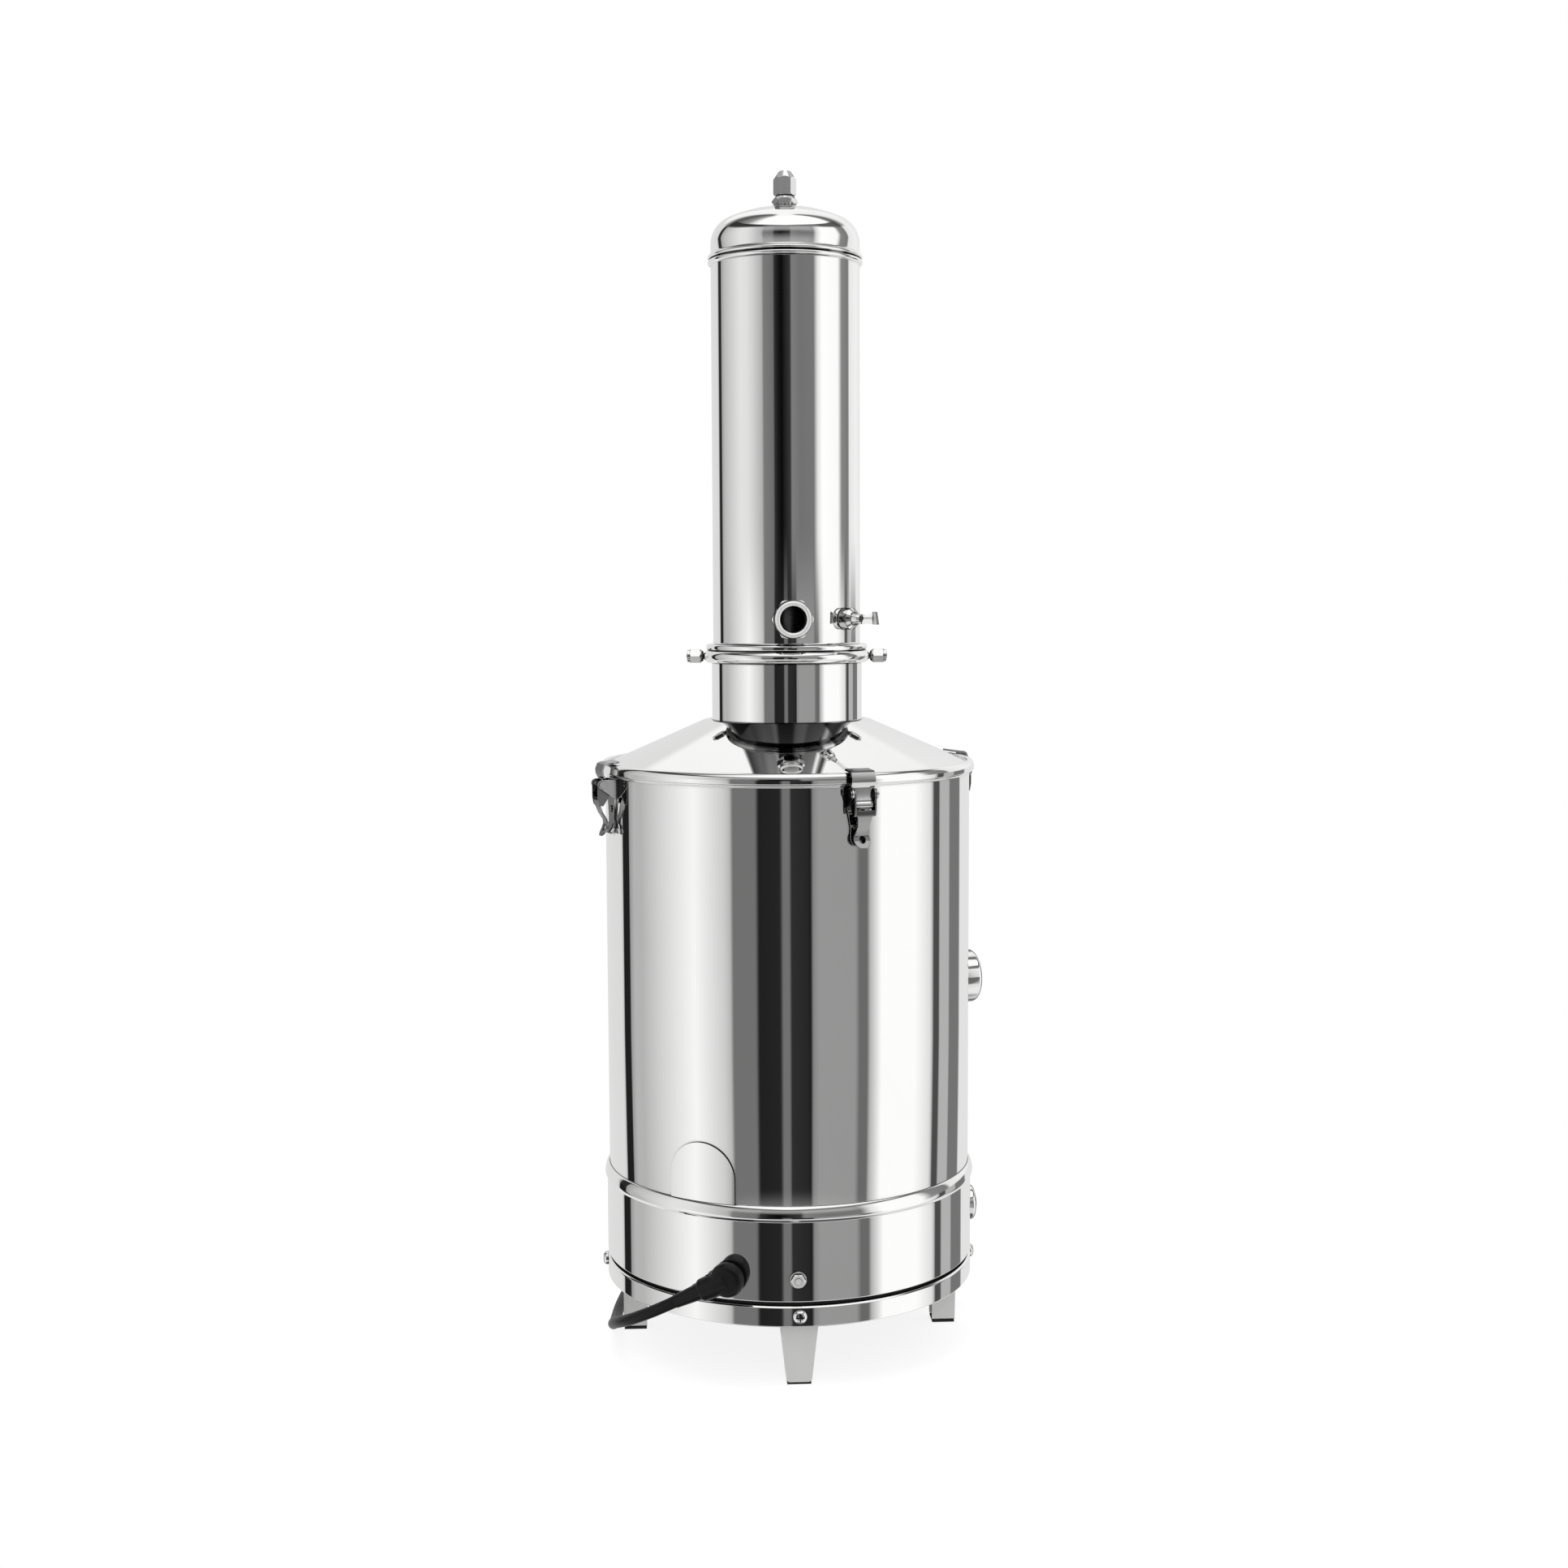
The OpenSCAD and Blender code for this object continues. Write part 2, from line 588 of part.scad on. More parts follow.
// Claw: an eye on the lever's pin, a strap that widens clear of the cheeks, and the bead's lip
lip_z = bead_top + 1;
claw_shoulder = claw_pin[1] + 10.3;
module latch_claw(k) {
    q = claw_pin;
    path = [[q[0] + 1.6, q[1] + 0.6], [q[0] + 0.9, q[1] + 3], [q[0] + 0.1, q[1] + 4.8],
        [q[0] - 0.1, q[1] + 10.9], [q[0] + 1.1, q[1] + 13.4], [q[0] + 1.3, q[1] + 16],
        [q[0] + 0.1, lip_z - 0.9], [q[0] - 1.7, lip_z - 0.1], [q[0] - 4, lip_z],
        [bead_r - 5.5, lip_z + 0.7]];
    color("silver") at_az(latch_az + k * 90) difference() {
        union() {
            intersection() {
                side_profile(claw_w) polygon(strip(path, latch_t));
                front_outline(bead_r - 9, 24) for (s = [-1, 1]) polygon([[0, q[1] - 3],
                    [s * claw_eye_w / 2, q[1] - 3], [s * claw_eye_w / 2, claw_shoulder],
                    [s * (claw_w / 2 - 0.6), claw_shoulder], [s * claw_w / 2, claw_shoulder + 0.6],
                    [s * claw_w / 2, lip_z + 3], [0, lip_z + 3]]);
            }
            translate([0, -q[0], q[1]]) rotate([0, 90, 0])
                cylinder(h = claw_eye_w, r = claw_pin_r + 1, center = true, $fn = 48);
        }
        translate([0, -q[0], q[1]]) rotate([0, 90, 0])
            cylinder(h = 40, r = claw_pin_r + fit, center = true, $fn = 48);
    }
}
module latch_claw_1() { latch_claw(0); }
module latch_claw_2() { latch_claw(1); }
module latch_claw_3() { latch_claw(2); }
module latch_claw_4() { latch_claw(3); }

// Lid: skirt and rolled bead over the boiler's rim, the cone and a flat collar at the column
module lid_cone() {
    color("gainsboro") rotate_extrude($fn = 180) polygon(concat(
        [[rim_r + gap, skirt_low], [bead_r - 0.3, skirt_low], [bead_r, skirt_low + 0.4],
            [bead_r, bead_top - 3.3]],
        arc([bead_r - 3.3, bead_top - 3.3], 3.3, 0, 112, 10),
        [[foot_r, foot_z], [neck_r + 0.4, neck_z - 0.2], [neck_r - 0.4, neck_z],
            [column_r + fit, neck_z], [column_r + fit, neck_z - sheet], [neck_r, neck_z - sheet],
            [foot_r - 0.4, foot_z - sheet], [rim_r - 4, seal_top], [rim_r - 1.2, seal_top],
            [rim_r + gap, seal_top - 1.4]]));
}
module lid_gasket() {
    color("white") rotate_extrude($fn = 180)
        polygon([[rim_r - 3.4, rim_top], [rim_r - 0.8, rim_top], [rim_r - 0.4, rim_top + 0.4],
            [rim_r - 0.4, seal_top - 1.6], [rim_r - 1.4, seal_top], [rim_r - 3.4, seal_top]]);
}

// Lower column, welded into the cone's collar
module lower_column() {
    color("gainsboro") difference() {
        translate([0, 0, neck_z - 4]) cylinder(h = clamp_top - neck_z + 4, r = column_r);
        translate([0, 0, neck_z - 5]) cylinder(h = clamp_top - neck_z + 9, r = column_r - tower_t);
    }
}

// Clamp ring round the column's top, of rounded section, and its two side screws
screw_azs = [-90, 88];
bolt_r = 2;
bolt_in = 4;
collar_r = 4;
collar_h = 1.8;
hex_r = 5;
hex_h = 7;
clamp_screw_z = clamp_low + clamp_h * 0.5;
module clamp_ring() {
    color("gainsboro") difference() {
        rotate_extrude() polygon([[column_r + fit, clamp_low], [clamp_r - 3, clamp_low],
            [clamp_r - 1, clamp_low + 0.8], [clamp_r, clamp_low + 1.8],
            [clamp_r, clamp_top - 1.8], [clamp_r - 1, clamp_top - 0.8],
            [clamp_r - 3, clamp_top], [column_r + fit, clamp_top]]);
        for (a = screw_azs) facing_out(a, column_r - 1, clamp_screw_z)
            cylinder(h = clamp_r - column_r + 2, r = bolt_r + fit, $fn = 32);
    }
}
module clamp_screws() {
    color("silver") for (a = screw_azs) facing_out(a, clamp_r, clamp_screw_z) {
        translate([0, 0, -bolt_in]) cylinder(h = bolt_in + 2, r = bolt_r, $fn = 32);
        rotate_extrude($fn = 48) polygon([[0, 0], [collar_r * 3 / 4, 0], [collar_r, collar_h * 3 / 4],
            [collar_r, collar_h], [0, collar_h]]);
        translate([0, 0, collar_h]) hex_nut(hex_r, hex_h, 0);
        translate([0, 0, collar_h + hex_h - 0.1]) rotate_extrude($fn = 48)
            polygon([[0, 0], [hex_r * 0.8, 0], [collar_r, hex_h / 4], [0, hex_h * 3 / 8]]);
    }
}

// Tower: spigot in the column, base bead, wall and top bead
module tower_shell() {
    color("gainsboro") difference() {
        rotate_extrude() polygon([[spigot_r, clamp_low - 6], [spigot_r, clamp_top],
            [column_r + 3, clamp_top], [column_r + 3.4, clamp_top + 0.6],
            [column_r + 3.4, clamp_top + 2.9], [column_r + 2.9, clamp_top + 3.5],
            [tower_r, clamp_top + 3.9], [tower_r, tower_top - 4.3], [tower_r + 1.3, tower_top - 4],
            [tower_r + 1.9, tower_top - 3.3], [tower_r + 1.9, tower_top - 2.3],
            [tower_r + 1.3, tower_top - 1.6], [tower_r + 0.4, tower_top - 1.4],
            [tower_r + 0.4, tower_top], [tower_r - tower_t, tower_top],
            [tower_r - tower_t, clamp_top + 1], [spigot_r - tower_t, clamp_top],
            [spigot_r - tower_t, clamp_low - 6]]);
        facing_out(port_az, tower_r - 8, port_z) cylinder(h = 14, r = port_bore + 1 + fit);
        facing_out(petcock_az, tower_r - 8, port_z) cylinder(h = 14, r = 3 + fit);
    }
}

// Dome: flange on the tower's edge, skirt, knuckle and crown, with a flat boss for the vent
module tower_dome() {
    knuckle_a = asin((tower_r - knuckle_r) / (crown_r - knuckle_r));
    knuckle_c = [tower_r - knuckle_r, tangent_z];
    crown_c = [0, crown_z - crown_r];
    color("gainsboro") difference() {
        union() {
            rotate_extrude() polygon(concat(
                [[tower_r + 1.6, tower_top], [tower_r + 1.9, tower_top + 0.5],
                    [tower_r + 1.6, tower_top + 1.7], [tower_r, tower_top + 2.1]],
                arc(knuckle_c, knuckle_r, 0, 90 - knuckle_a, 10),
                arc(crown_c, crown_r, 90 - knuckle_a, 90, 8),
                arc(crown_c, crown_r - tower_t, 90, 90 - knuckle_a, 8),
                arc(knuckle_c, knuckle_r - tower_t, 90 - knuckle_a, 0, 10),
                [[tower_r - tower_t, tower_top]]));
            translate([0, 0, crown_z - 1]) cylinder(h = boss_top - crown_z + 1, r = 7.4);
        }
        translate([0, 0, crown_z - 9]) cylinder(h = 18, r = vent_neck_r + fit);
    }
}

// Vent: lock nut on the dome and the drilled cap over it
vent_neck_r = 4;
vent_bore_r = 1.6;
nut_h = 6.8;
nut_corner_r = 8.4;
nut_edge_r = 5.9;
module vent_nut() {
    color("silver") translate([0, 0, boss_top]) difference() {
        intersection() {
            cylinder(h = nut_h, r = nut_corner_r, $fn = 6);
            rotate_extrude() polygon([[0, 0], [nut_edge_r, 0], [nut_corner_r, nut_h * 0.44],
                [nut_corner_r, nut_h * 0.56], [nut_edge_r, nut_h], [0, nut_h]]);
        }
        translate([0, 0, -1]) cylinder(h = nut_h + 2, r = vent_neck_r + fit);
    }
}
module vent_cap() {
    cap_z = boss_top + nut_h + 0.5;
    color("silver") difference() {
        union() {
            translate([0, 0, crown_z - 5]) cylinder(h = cap_z - crown_z + 6, r = vent_neck_r);
            translate([0, 0, cap_z]) intersection() {
                cylinder(h = 15.2, r = 7.4, $fn = 6);
                rotate_extrude() polygon([[0, 0], [6.6, 0], [7.4, 0.8], [7.4, 10], [3.7, 15.2], [0, 15.2]]);
            }
        }
        translate([0, 0, crown_z - 6]) cylinder(h = 40, r = vent_bore_r, $fn = 32);
    }
}

// Water port: a nozzle through the wall and the nut that holds it
port_out = 14.6;
module port_nut() {
    color("silver") difference() {
        facing_out(port_az, tower_r - 4, port_z) union() {
            cylinder(h = 5.6, r = 10.8);
            translate([0, 0, 5.5]) hex_nut(13.6, 5.6, 0, 12.8);
        }
        cylinder(h = tower_top, r = tower_r + fit / 2);
        facing_out(port_az, tower_r - 8, port_z) cylinder(h = 30, r = port_bore + 1 + fit);
    }
}
module port_nozzle() {
    color("silver") facing_out(port_az, tower_r - 5, port_z) difference() {
        union() {
            cylinder(h = 12.2, r = port_bore + 1);
            translate([0, 0, 12.12]) rotate_extrude() polygon([[port_bore, 0], [port_bore + 2.2, 0],
                [port_bore + 3, 1.2], [port_bore + 3, 5.2], [port_bore + 1.8, port_out - 7.1],
                [port_bore, port_out - 7.1]]);
        }
        translate([0, 0, -1]) cylinder(h = port_out + 12, r = port_bore);
    }
}

// Petcock: barrel body with a drip hole below, and the fish-tail key that turns in it
key_r = 2.4;
drip_r = 1.3;
body_out = 8.6;
module petcock_body() {
    color("silver") difference() {
        union() {
            facing_out(petcock_az, tower_r - 5, port_z) cylinder(h = 8, r = 3);
            difference() {
                facing_out(petcock_az, tower_r - 2, port_z) rotate_extrude() polygon([[0, 0],
                    [petcock_r - 1.4, 0], [petcock_r, 3], [petcock_r, body_out],
                    [petcock_r - 1.6, body_out + 2], [0, body_out + 2]]);
                cylinder(h = tower_top, r = tower_r + fit / 2);
            }
        }
        at_az(petcock_az) translate([0, -tower_r - body_out / 2 + 0.6, port_z - petcock_r - 1])
            cylinder(h = petcock_r + 1, r = drip_r, $fn = 32);
        facing_out(petcock_az, tower_r + 3, port_z) cylinder(h = 10, r = key_r + fit);
        facing_out(petcock_az, tower_r - 6, port_z) cylinder(h = 10, r = drip_r, $fn = 32);
    }
}
module petcock_key() {
    face = tower_r + body_out;
    color("silver") at_az(petcock_az) translate([0, 0, port_z]) {
        translate([0, -tower_r - 3.3, 0]) rotate([90, 0, 0]) cylinder(h = body_out + 0.6, r = key_r);
        translate([0, -face - gap, 0]) rotate([90, 0, 0]) rotate_extrude()
            polygon([[0, 0], [4.2, 0], [3.4, 3], [2.6, 5], [0, 5]]);
        side_profile(2.4) polygon([[face + 2, -2.4], [face + 5, -3.4], [face + 9, -2.9],
            [face + 14, -3.3], [face + 18.6, -3.6], [face + 18, 0], [face + 17.2, 4.4],
            [face + 15.6, 4.6], [face + 12, 2.6], [face + 8, 2.2], [face + 5, 3], [face + 2, 2.4]]);
    }
}

// Inside the tower: the tray that catches the condensate, the condenser and the splash baffle
riser_r = 20;
tray_z = clamp_top + 4.6;
module collector_tray() {
    color("gainsboro") rotate_extrude() polygon([[riser_r, tray_z - 2],
        [tower_r - tower_t - fit, tray_z - 2], [tower_r - tower_t - fit, tray_z - 2 + sheet],
        [riser_r + sheet, tray_z - 2 + sheet], [riser_r + sheet, port_z + 18], [riser_r, port_z + 18]]);
}
module condenser_core() {
    low = port_z + 34;
    high = tower_top - 14;
    plate_r = tower_r - tower_t - fit;
    spots = concat([[0, 0]], [for (k = [0 : 5]) 27 * [cos(60 * k), sin(60 * k)]]);
    color("silver") difference() {
        union() {
            for (z = [low, high - 2]) translate([0, 0, z]) cylinder(h = 2, r = plate_r);
            for (s = spots) translate([s[0], s[1], low]) cylinder(h = high - low, r = 8, $fn = 48);
        }
        for (s = spots) translate([s[0], s[1], low - 1]) cylinder(h = high - low + 2, r = 7, $fn = 48);
    }
}
module steam_baffle() {
    color("silver") difference() {
        translate([0, 0, neck_z + 6]) cylinder(h = 1.5, r = column_r - tower_t - fit);
        for (ring = [0 : 2], k = [0 : 5 + 6 * ring]) rotate([0, 0, k * 360 / (6 + 6 * ring)])
            translate([12 + 12 * ring, 0, neck_z + 5]) cylinder(h = 4, r = 3, $fn = 24);
    }
}

// Mains lead. The connector's neck leaves sideways and downwards along lead_dir.
head_rho = band_r + 0.8;
head_len = 12.4;
head_r = 10.8;
neck_rho = head_rho + 6.4;
lead_slope = 27;
boot_from = 9;
boot_to = 30;
module along_lead(s) {
    at_az(inlet_az) translate([0, -neck_rho, inlet_z]) rotate([0, -90 - lead_slope, 0])
        translate([0, 0, s]) children();
}
module connector() {
    color("black") difference() {
        union() {
            facing_out(inlet_az, head_rho, inlet_z) rotate_extrude() polygon(concat(
                [[0, 0], [head_r - 3.2, 0], [head_r - 2.4, 0.8], [head_r, head_len - 6],
                    [head_r, head_len - 3]],
                arc([head_r - 3, head_len - 3], 3, 0, 80, 6), [[0, head_len + 0.3]]));
            along_lead(0) cylinder(h = 13, r = 6.2);
        }
        along_lead(boot_from) cylinder(h = 9, r = 5.2 + fit);
    }
}
module cord_boot() {
    color("black") along_lead(boot_from) difference() {
        union() {
            cylinder(h = 5, r = 5.2);
            translate([0, 0, 4.1]) cylinder(h = boot_to - boot_from - 4.1, r1 = 6.4, r2 = 4.9);
        }
        translate([0, 0, boot_to - boot_from - 6]) cylinder(h = 9, r = cord_d / 2 + fit);
    }
}

// Free stretch of the lead, from inside the boot down to the floor and round behind the boiler
lead_z = cord_d / 2;
coil_c = [0, 195];
coil_z = lead_z + 0.9;
coil_out = 49;
route = [[-58.4, -116.3, 60.3], [-66.9, -113.7, 55.8], [-75.4, -111.1, 51.2], [-84.2, -107.6, 46.2],
    [-92.6, -102.8, 41.4], [-100, -96, 36.6], [-105.8, -87, 32.2], [-109.8, -76.5, 27.8],
    [-112.4, -65, 23.2], [-114, -53, 18.6], [-115.2, -41, 14], [-116, -29, 9.8], [-116.4, -16, 6.4],
    [-116.6, -2, 4.4], [-116.4, 13, lead_z], [-115.6, 28, lead_z], [-114.2, 44, lead_z],
    [-112.4, 60, lead_z], [-110.4, 77, lead_z], [-108.2, 94, lead_z], [-105.6, 111, lead_z],
    [-102, 128, lead_z], [-97, 145, lead_z], [-90, 162, lead_z], [-81, 179, lead_z],
    [-70, 196, lead_z], [-59, 211.5, lead_z], [-46, 226, lead_z], [-31.5, 237, lead_z + 0.2],
    [-16, coil_c[1] + coil_out, coil_z], [-8, coil_c[1] + coil_out, coil_z]];

// Tube of n sides along a path, with flat ends square to its first and last stretch
function tube_ring(p, i, n, r) =
    let (t = i == 0 ? unit(p[1] - p[0]) : i == len(p) - 1 ? unit(p[i] - p[i - 1])
            : unit(unit(p[i + 1] - p[i]) + unit(p[i] - p[i - 1])),
        s = unit(cross(t, [0, 0, 1])), u = cross(s, t))
    [for (k = [0 : n - 1]) p[i] + r * (s * cos(360 * k / n) + u * sin(360 * k / n))];
module tube(p, n, r) {
    rings = len(p);
    points = [for (i = [0 : rings - 1]) each tube_ring(p, i, n, r)];
    walls = [for (i = [0 : rings - 2], k = [0 : n - 1]) let (a = i * n + k, b = i * n + (k + 1) % n)
        each [[a, a + n, b], [b, a + n, b + n]]];
    caps = concat([for (k = [1 : n - 2]) [0, k, k + 1]],
        [for (k = [1 : n - 2]) let (z = (rings - 1) * n) [z, z + k + 1, z + k]]);
    polyhedron(points, concat(walls, caps), convexity = 8);
}
function path_length(p, i = 1) = i >= len(p) ? 0 : norm(p[i] - p[i - 1]) + path_length(p, i + 1);
module cord() { color("black") tube(route, 8, cord_d / 2); }

// Coil: four loops in two layers, clockwise from the back, in and out again at a steady rate
loops = 4;
loop_pitch = cord_d + 0.6;
layer_step = cord_d + 0.6;
tail = 22;
function climb(t) = t < loops / 2 - 0.25 ? 0 : t > loops / 2 + 0.25 ? 1
    : 0.5 - 0.5 * cos(180 * (t - loops / 2 + 0.25) / 0.5);
function coil_point(t) =
    let (r = coil_out - loop_pitch * min(t, loops - t), a = 90 - 360 * t)
    [coil_c[0] + r * cos(a), coil_c[1] + r * sin(a), coil_z + layer_step * climb(t)];
coil_path = concat([[-8, coil_c[1] + coil_out, coil_z]], [for (i = [0 : 24 * loops]) coil_point(i / 24)],
    [[8, coil_c[1] + coil_out, coil_z + layer_step], [tail, coil_c[1] + coil_out, coil_z + layer_step]]);
least_gap = min([for (i = [0 : len(coil_path) - 1], j = [i + 12 : 1 : len(coil_path) - 1])
    norm(coil_path[i] - coil_path[j])]) - cord_d;
echo(coil_least_gap = least_gap);
echo(lead_length = path_length(route) + path_length(coil_path));
module cord_coil() { color("black") tube(coil_path, 6, cord_d / 2); }

// Tie round the turns, opposite to where the lead comes in
tie_t = 0.8;
tie_w = 9;
module coil_tie() {
    in_r = coil_out - loop_pitch * 1.75 - cord_d / 2 - 0.5;
    out_r = coil_out - loop_pitch * 0.25 + cord_d / 2 + 0.5;
    high = coil_z + layer_step + cord_d / 2 + 0.3;
    color("dimgray") translate([coil_c[0], coil_c[1], 0]) rotate([90, 0, 180])
        translate([0, 0, -tie_w / 2]) linear_extrude(tie_w) difference() {
            translate([in_r - tie_t, 0]) square([out_r - in_r + 2 * tie_t, high + tie_t]);
            translate([in_r, tie_t]) square([out_r - in_r, high - tie_t]);
        }
}

// Plug with three pins, lying on the floor at the lead's end
plug_boot = 24;
plug_len = 36;
module plug() {
    axis_z = coil_z + layer_step;
    color("black") translate([tail, coil_c[1] + coil_out, axis_z]) rotate([0, 90, 0]) {
        cylinder(h = plug_boot + 1, r1 = 4.4, r2 = 7);
        translate([0, 0, plug_boot]) difference() {
            intersection() {
                translate([0, 0, plug_len / 2]) cube([2 * axis_z, 27, plug_len], center = true);
                rotate_extrude() polygon([[0, 0], [9, 0], [15.6, 9], [15.6, plug_len], [0, plug_len]]);
            }
            for (s = [-1, 1]) translate([0, s * 16.5, 12]) rotate([0, 90, 0])
                cylinder(h = 40, r = 5, center = true);
        }
    }
    color("gold") translate([tail + plug_boot + plug_len, coil_c[1] + coil_out, axis_z]) {
        for (s = [-1, 1]) translate([-1, s * 6.35 - 0.75, -1]) cube([17, 1.5, 6.4]);
        translate([-1, 0, -6.2]) rotate([0, 90, 0]) cylinder(h = 20, r = 2.4, $fn = 32);
    }
}

boiler_shell();
base_band();
base_pan();
base_ring();
leg_front();
leg_right();
leg_back();
leg_left();
foot_pads();
leg_screws();
earth_terminal();
arch_cover();
inlet_socket();
button_bezel();
power_button();
sight_bezel();
sight_gasket();
sight_glass();
sight_nut();
heating_element();
element_nuts();
temperature_probe();
thermal_cutout();
latch_base_1();
latch_base_2();
latch_base_3();
latch_base_4();
latch_pins();
latch_rivets();
latch_lever_1();
latch_lever_2();
latch_lever_3();
latch_lever_4();
latch_claw_1();
latch_claw_2();
latch_claw_3();
latch_claw_4();
lid_cone();
lid_gasket();
lower_column();
clamp_ring();
clamp_screws();
tower_shell();
tower_dome();
vent_nut();
vent_cap();
port_nut();
port_nozzle();
petcock_body();
petcock_key();
collector_tray();
condenser_core();
steam_baffle();
connector();
cord_boot();
cord();
cord_coil();
coil_tie();
plug();
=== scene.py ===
"""Countertop water distiller for Blender 4.5.

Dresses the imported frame: polished shells turned from their profiles, pressed toggle latches,
turned fittings, a moulded connector, the mains lead with its coil and a small studio.
Blender's units are metres, the shapes are worked out in millimetres, +Z is up, and azimuths
are in degrees from the front (-Y) towards +X.
"""

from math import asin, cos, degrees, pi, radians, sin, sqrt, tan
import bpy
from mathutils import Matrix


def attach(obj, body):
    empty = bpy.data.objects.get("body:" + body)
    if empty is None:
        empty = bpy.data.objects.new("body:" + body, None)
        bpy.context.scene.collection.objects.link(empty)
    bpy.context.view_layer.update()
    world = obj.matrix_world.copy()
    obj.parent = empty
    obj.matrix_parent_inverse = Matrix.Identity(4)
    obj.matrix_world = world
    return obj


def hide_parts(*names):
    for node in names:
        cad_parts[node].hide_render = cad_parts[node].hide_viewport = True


bl_info = {
    "name": "Countertop Water Distiller",
    "version": (1, 0, 0),
    "blender": (4, 5, 0),
    "location": "View3D > Sidebar > Distiller",
    "description": "Builds a polished steel water distiller with its latches, fittings and lead",
    "category": "Add Mesh",
}

from types import SimpleNamespace

import bmesh
import bpy
import numpy as np
from bpy.props import FloatProperty, FloatVectorProperty, IntProperty, PointerProperty
from mathutils import Matrix, Vector

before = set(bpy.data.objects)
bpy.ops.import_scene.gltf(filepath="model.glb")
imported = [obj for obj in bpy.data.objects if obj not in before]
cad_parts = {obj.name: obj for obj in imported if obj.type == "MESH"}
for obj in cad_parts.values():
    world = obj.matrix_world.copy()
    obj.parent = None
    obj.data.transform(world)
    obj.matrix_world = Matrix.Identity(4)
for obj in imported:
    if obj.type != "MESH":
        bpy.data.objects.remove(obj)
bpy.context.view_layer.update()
MM = 0.001


def length(label, text, default):
    """A size in metres, shown with its unit."""
    return FloatProperty(name=label, description=text, default=default, min=0.0, unit="LENGTH",
                         precision=5)


def colour(label, text, default):
    """A surface colour, linear."""
    return FloatVectorProperty(name=label, description=text, default=default, size=3, min=0.0,
                               max=1.0, subtype="COLOR")


class DistillerSizes(bpy.types.PropertyGroup):
    """Sizes of the shells and of the lead."""
    body_r: length("Boiler radius", "Outside radius of the boiler wall", 0.1194)
    wall_h: length("Wall height", "Visible wall between the base band and the rim", 0.2591)
    sheet: length("Sheet", "Sheet thickness of boiler, band, ring and lid", 0.0012)
    rim_out: length("Rim", "How far the rolled rim stands out of the wall", 0.0019)
    leg_h: length("Leg height", "Clear height under the base ring", 0.040)
    ring_h: length("Ring height", "Height of the base ring", 0.0132)
    groove_h: length("Groove height", "Height of the dark groove", 0.0024)
    groove_d: length("Groove depth", "Depth of the dark groove", 0.0036)
    band_h: length("Band height", "Height of the base band with its lip", 0.060)
    band_out: length("Band step", "How far the band stands out of the wall", 0.0018)
    lip_out: length("Lip", "How far the lip stands out of the band", 0.0013)
    bead_h: length("Bead height", "Height of the lid's rolled bead", 0.0067)
    bead_out: length("Bead step", "How far the bead stands out of the rim", 0.0012)
    seal_h: length("Seal height", "Height of the sealing ring", 0.0036)
    column_r: length("Column radius", "Outside radius of the lower column", 0.04905)
    column_h: length("Column height", "Column between cone and clamp ring", 0.0378)
    clamp_r: length("Clamp radius", "Outside radius of the clamp ring", 0.0545)
    clamp_h: length("Clamp height", "Height of the clamp ring", 0.0084)
    tower_h: length("Tower height", "Tower shell over the clamp ring", 0.2524)
    tower_t: length("Tower sheet", "Sheet thickness of column, tower and dome", 0.0012)
    skirt_h: length("Skirt height", "Straight skirt of the dome", 0.0074)
    crown_r: length("Crown radius", "Radius of the dome's crown", 0.095)
    knuckle_r: length("Knuckle radius", "Radius of the dome's knuckle", 0.017)
    cord_d: length("Lead diameter", "Diameter of the mains lead", 0.0074)
    cone_slope: FloatProperty(name="Cone slope", description="Slope of the lid's cone",
                              default=radians(23.9), subtype="ANGLE", unit="ROTATION")


class DistillerFinish(bpy.types.PropertyGroup):
    """Colours of the finishes, and how finely the shells are divided."""
    steel: colour("Polished steel", "Mirror-polished sheet", (0.945, 0.945, 0.94))
    pressed: colour("Pressed steel", "Latches and other bright pressed parts", (0.92, 0.92, 0.915))
    mill: colour("Mill steel", "Channel legs", (0.84, 0.84, 0.83))
    inner: colour("Inner steel", "Inside of the boiler and the tower", (0.80, 0.80, 0.79))
    brass: colour("Brass", "Lock nuts and pins", (0.80, 0.62, 0.33))
    silicone: colour("Silicone", "Lid seal", (0.78, 0.78, 0.76))
    rubber: colour("Rubber", "Foot pads and the glass's seal", (0.035, 0.035, 0.036))
    plastic: colour("Black plastic", "Connector, strain relief and plug", (0.007, 0.007, 0.0075))
    sheath: colour("Lead sheath", "Sheath of the mains lead", (0.006, 0.006, 0.0065))
    tie: colour("Tie", "Woven tie round the coil", (0.05, 0.05, 0.052))
    shell_steps: IntProperty(name="Shell steps", description="Steps round a large shell",
                             default=360, min=24, max=720)


class DistillerStudio(bpy.types.PropertyGroup):
    """Camera, floor and light."""
    lens: FloatProperty(name="Lens", description="Focal length", default=47.12, min=1.0,
                        subtype="DISTANCE_CAMERA")
    camera: FloatVectorProperty(name="Camera", description="Place of the camera", size=3,
                                default=(-0.00213, -1.3472, 0.4884), subtype="TRANSLATION",
                                unit="LENGTH", precision=5)
    pitch: FloatProperty(name="Pitch", description="Downward tilt of the camera",
                         default=radians(5.251), subtype="ANGLE", unit="ROTATION")
    roll: FloatProperty(name="Roll", description="Roll of the camera",
                        default=radians(-0.2464), subtype="ANGLE", unit="ROTATION")
    floor_r: length("Floor radius", "Radius of the round table top", 0.40)
    level: FloatProperty(name="Light level", description="Even light on matt surfaces",
                         default=0.78, min=0.0)
    lamp: FloatProperty(name="Lamp", description="Power of the soft lamp overhead", default=9.0,
                        min=0.0, unit="POWER")


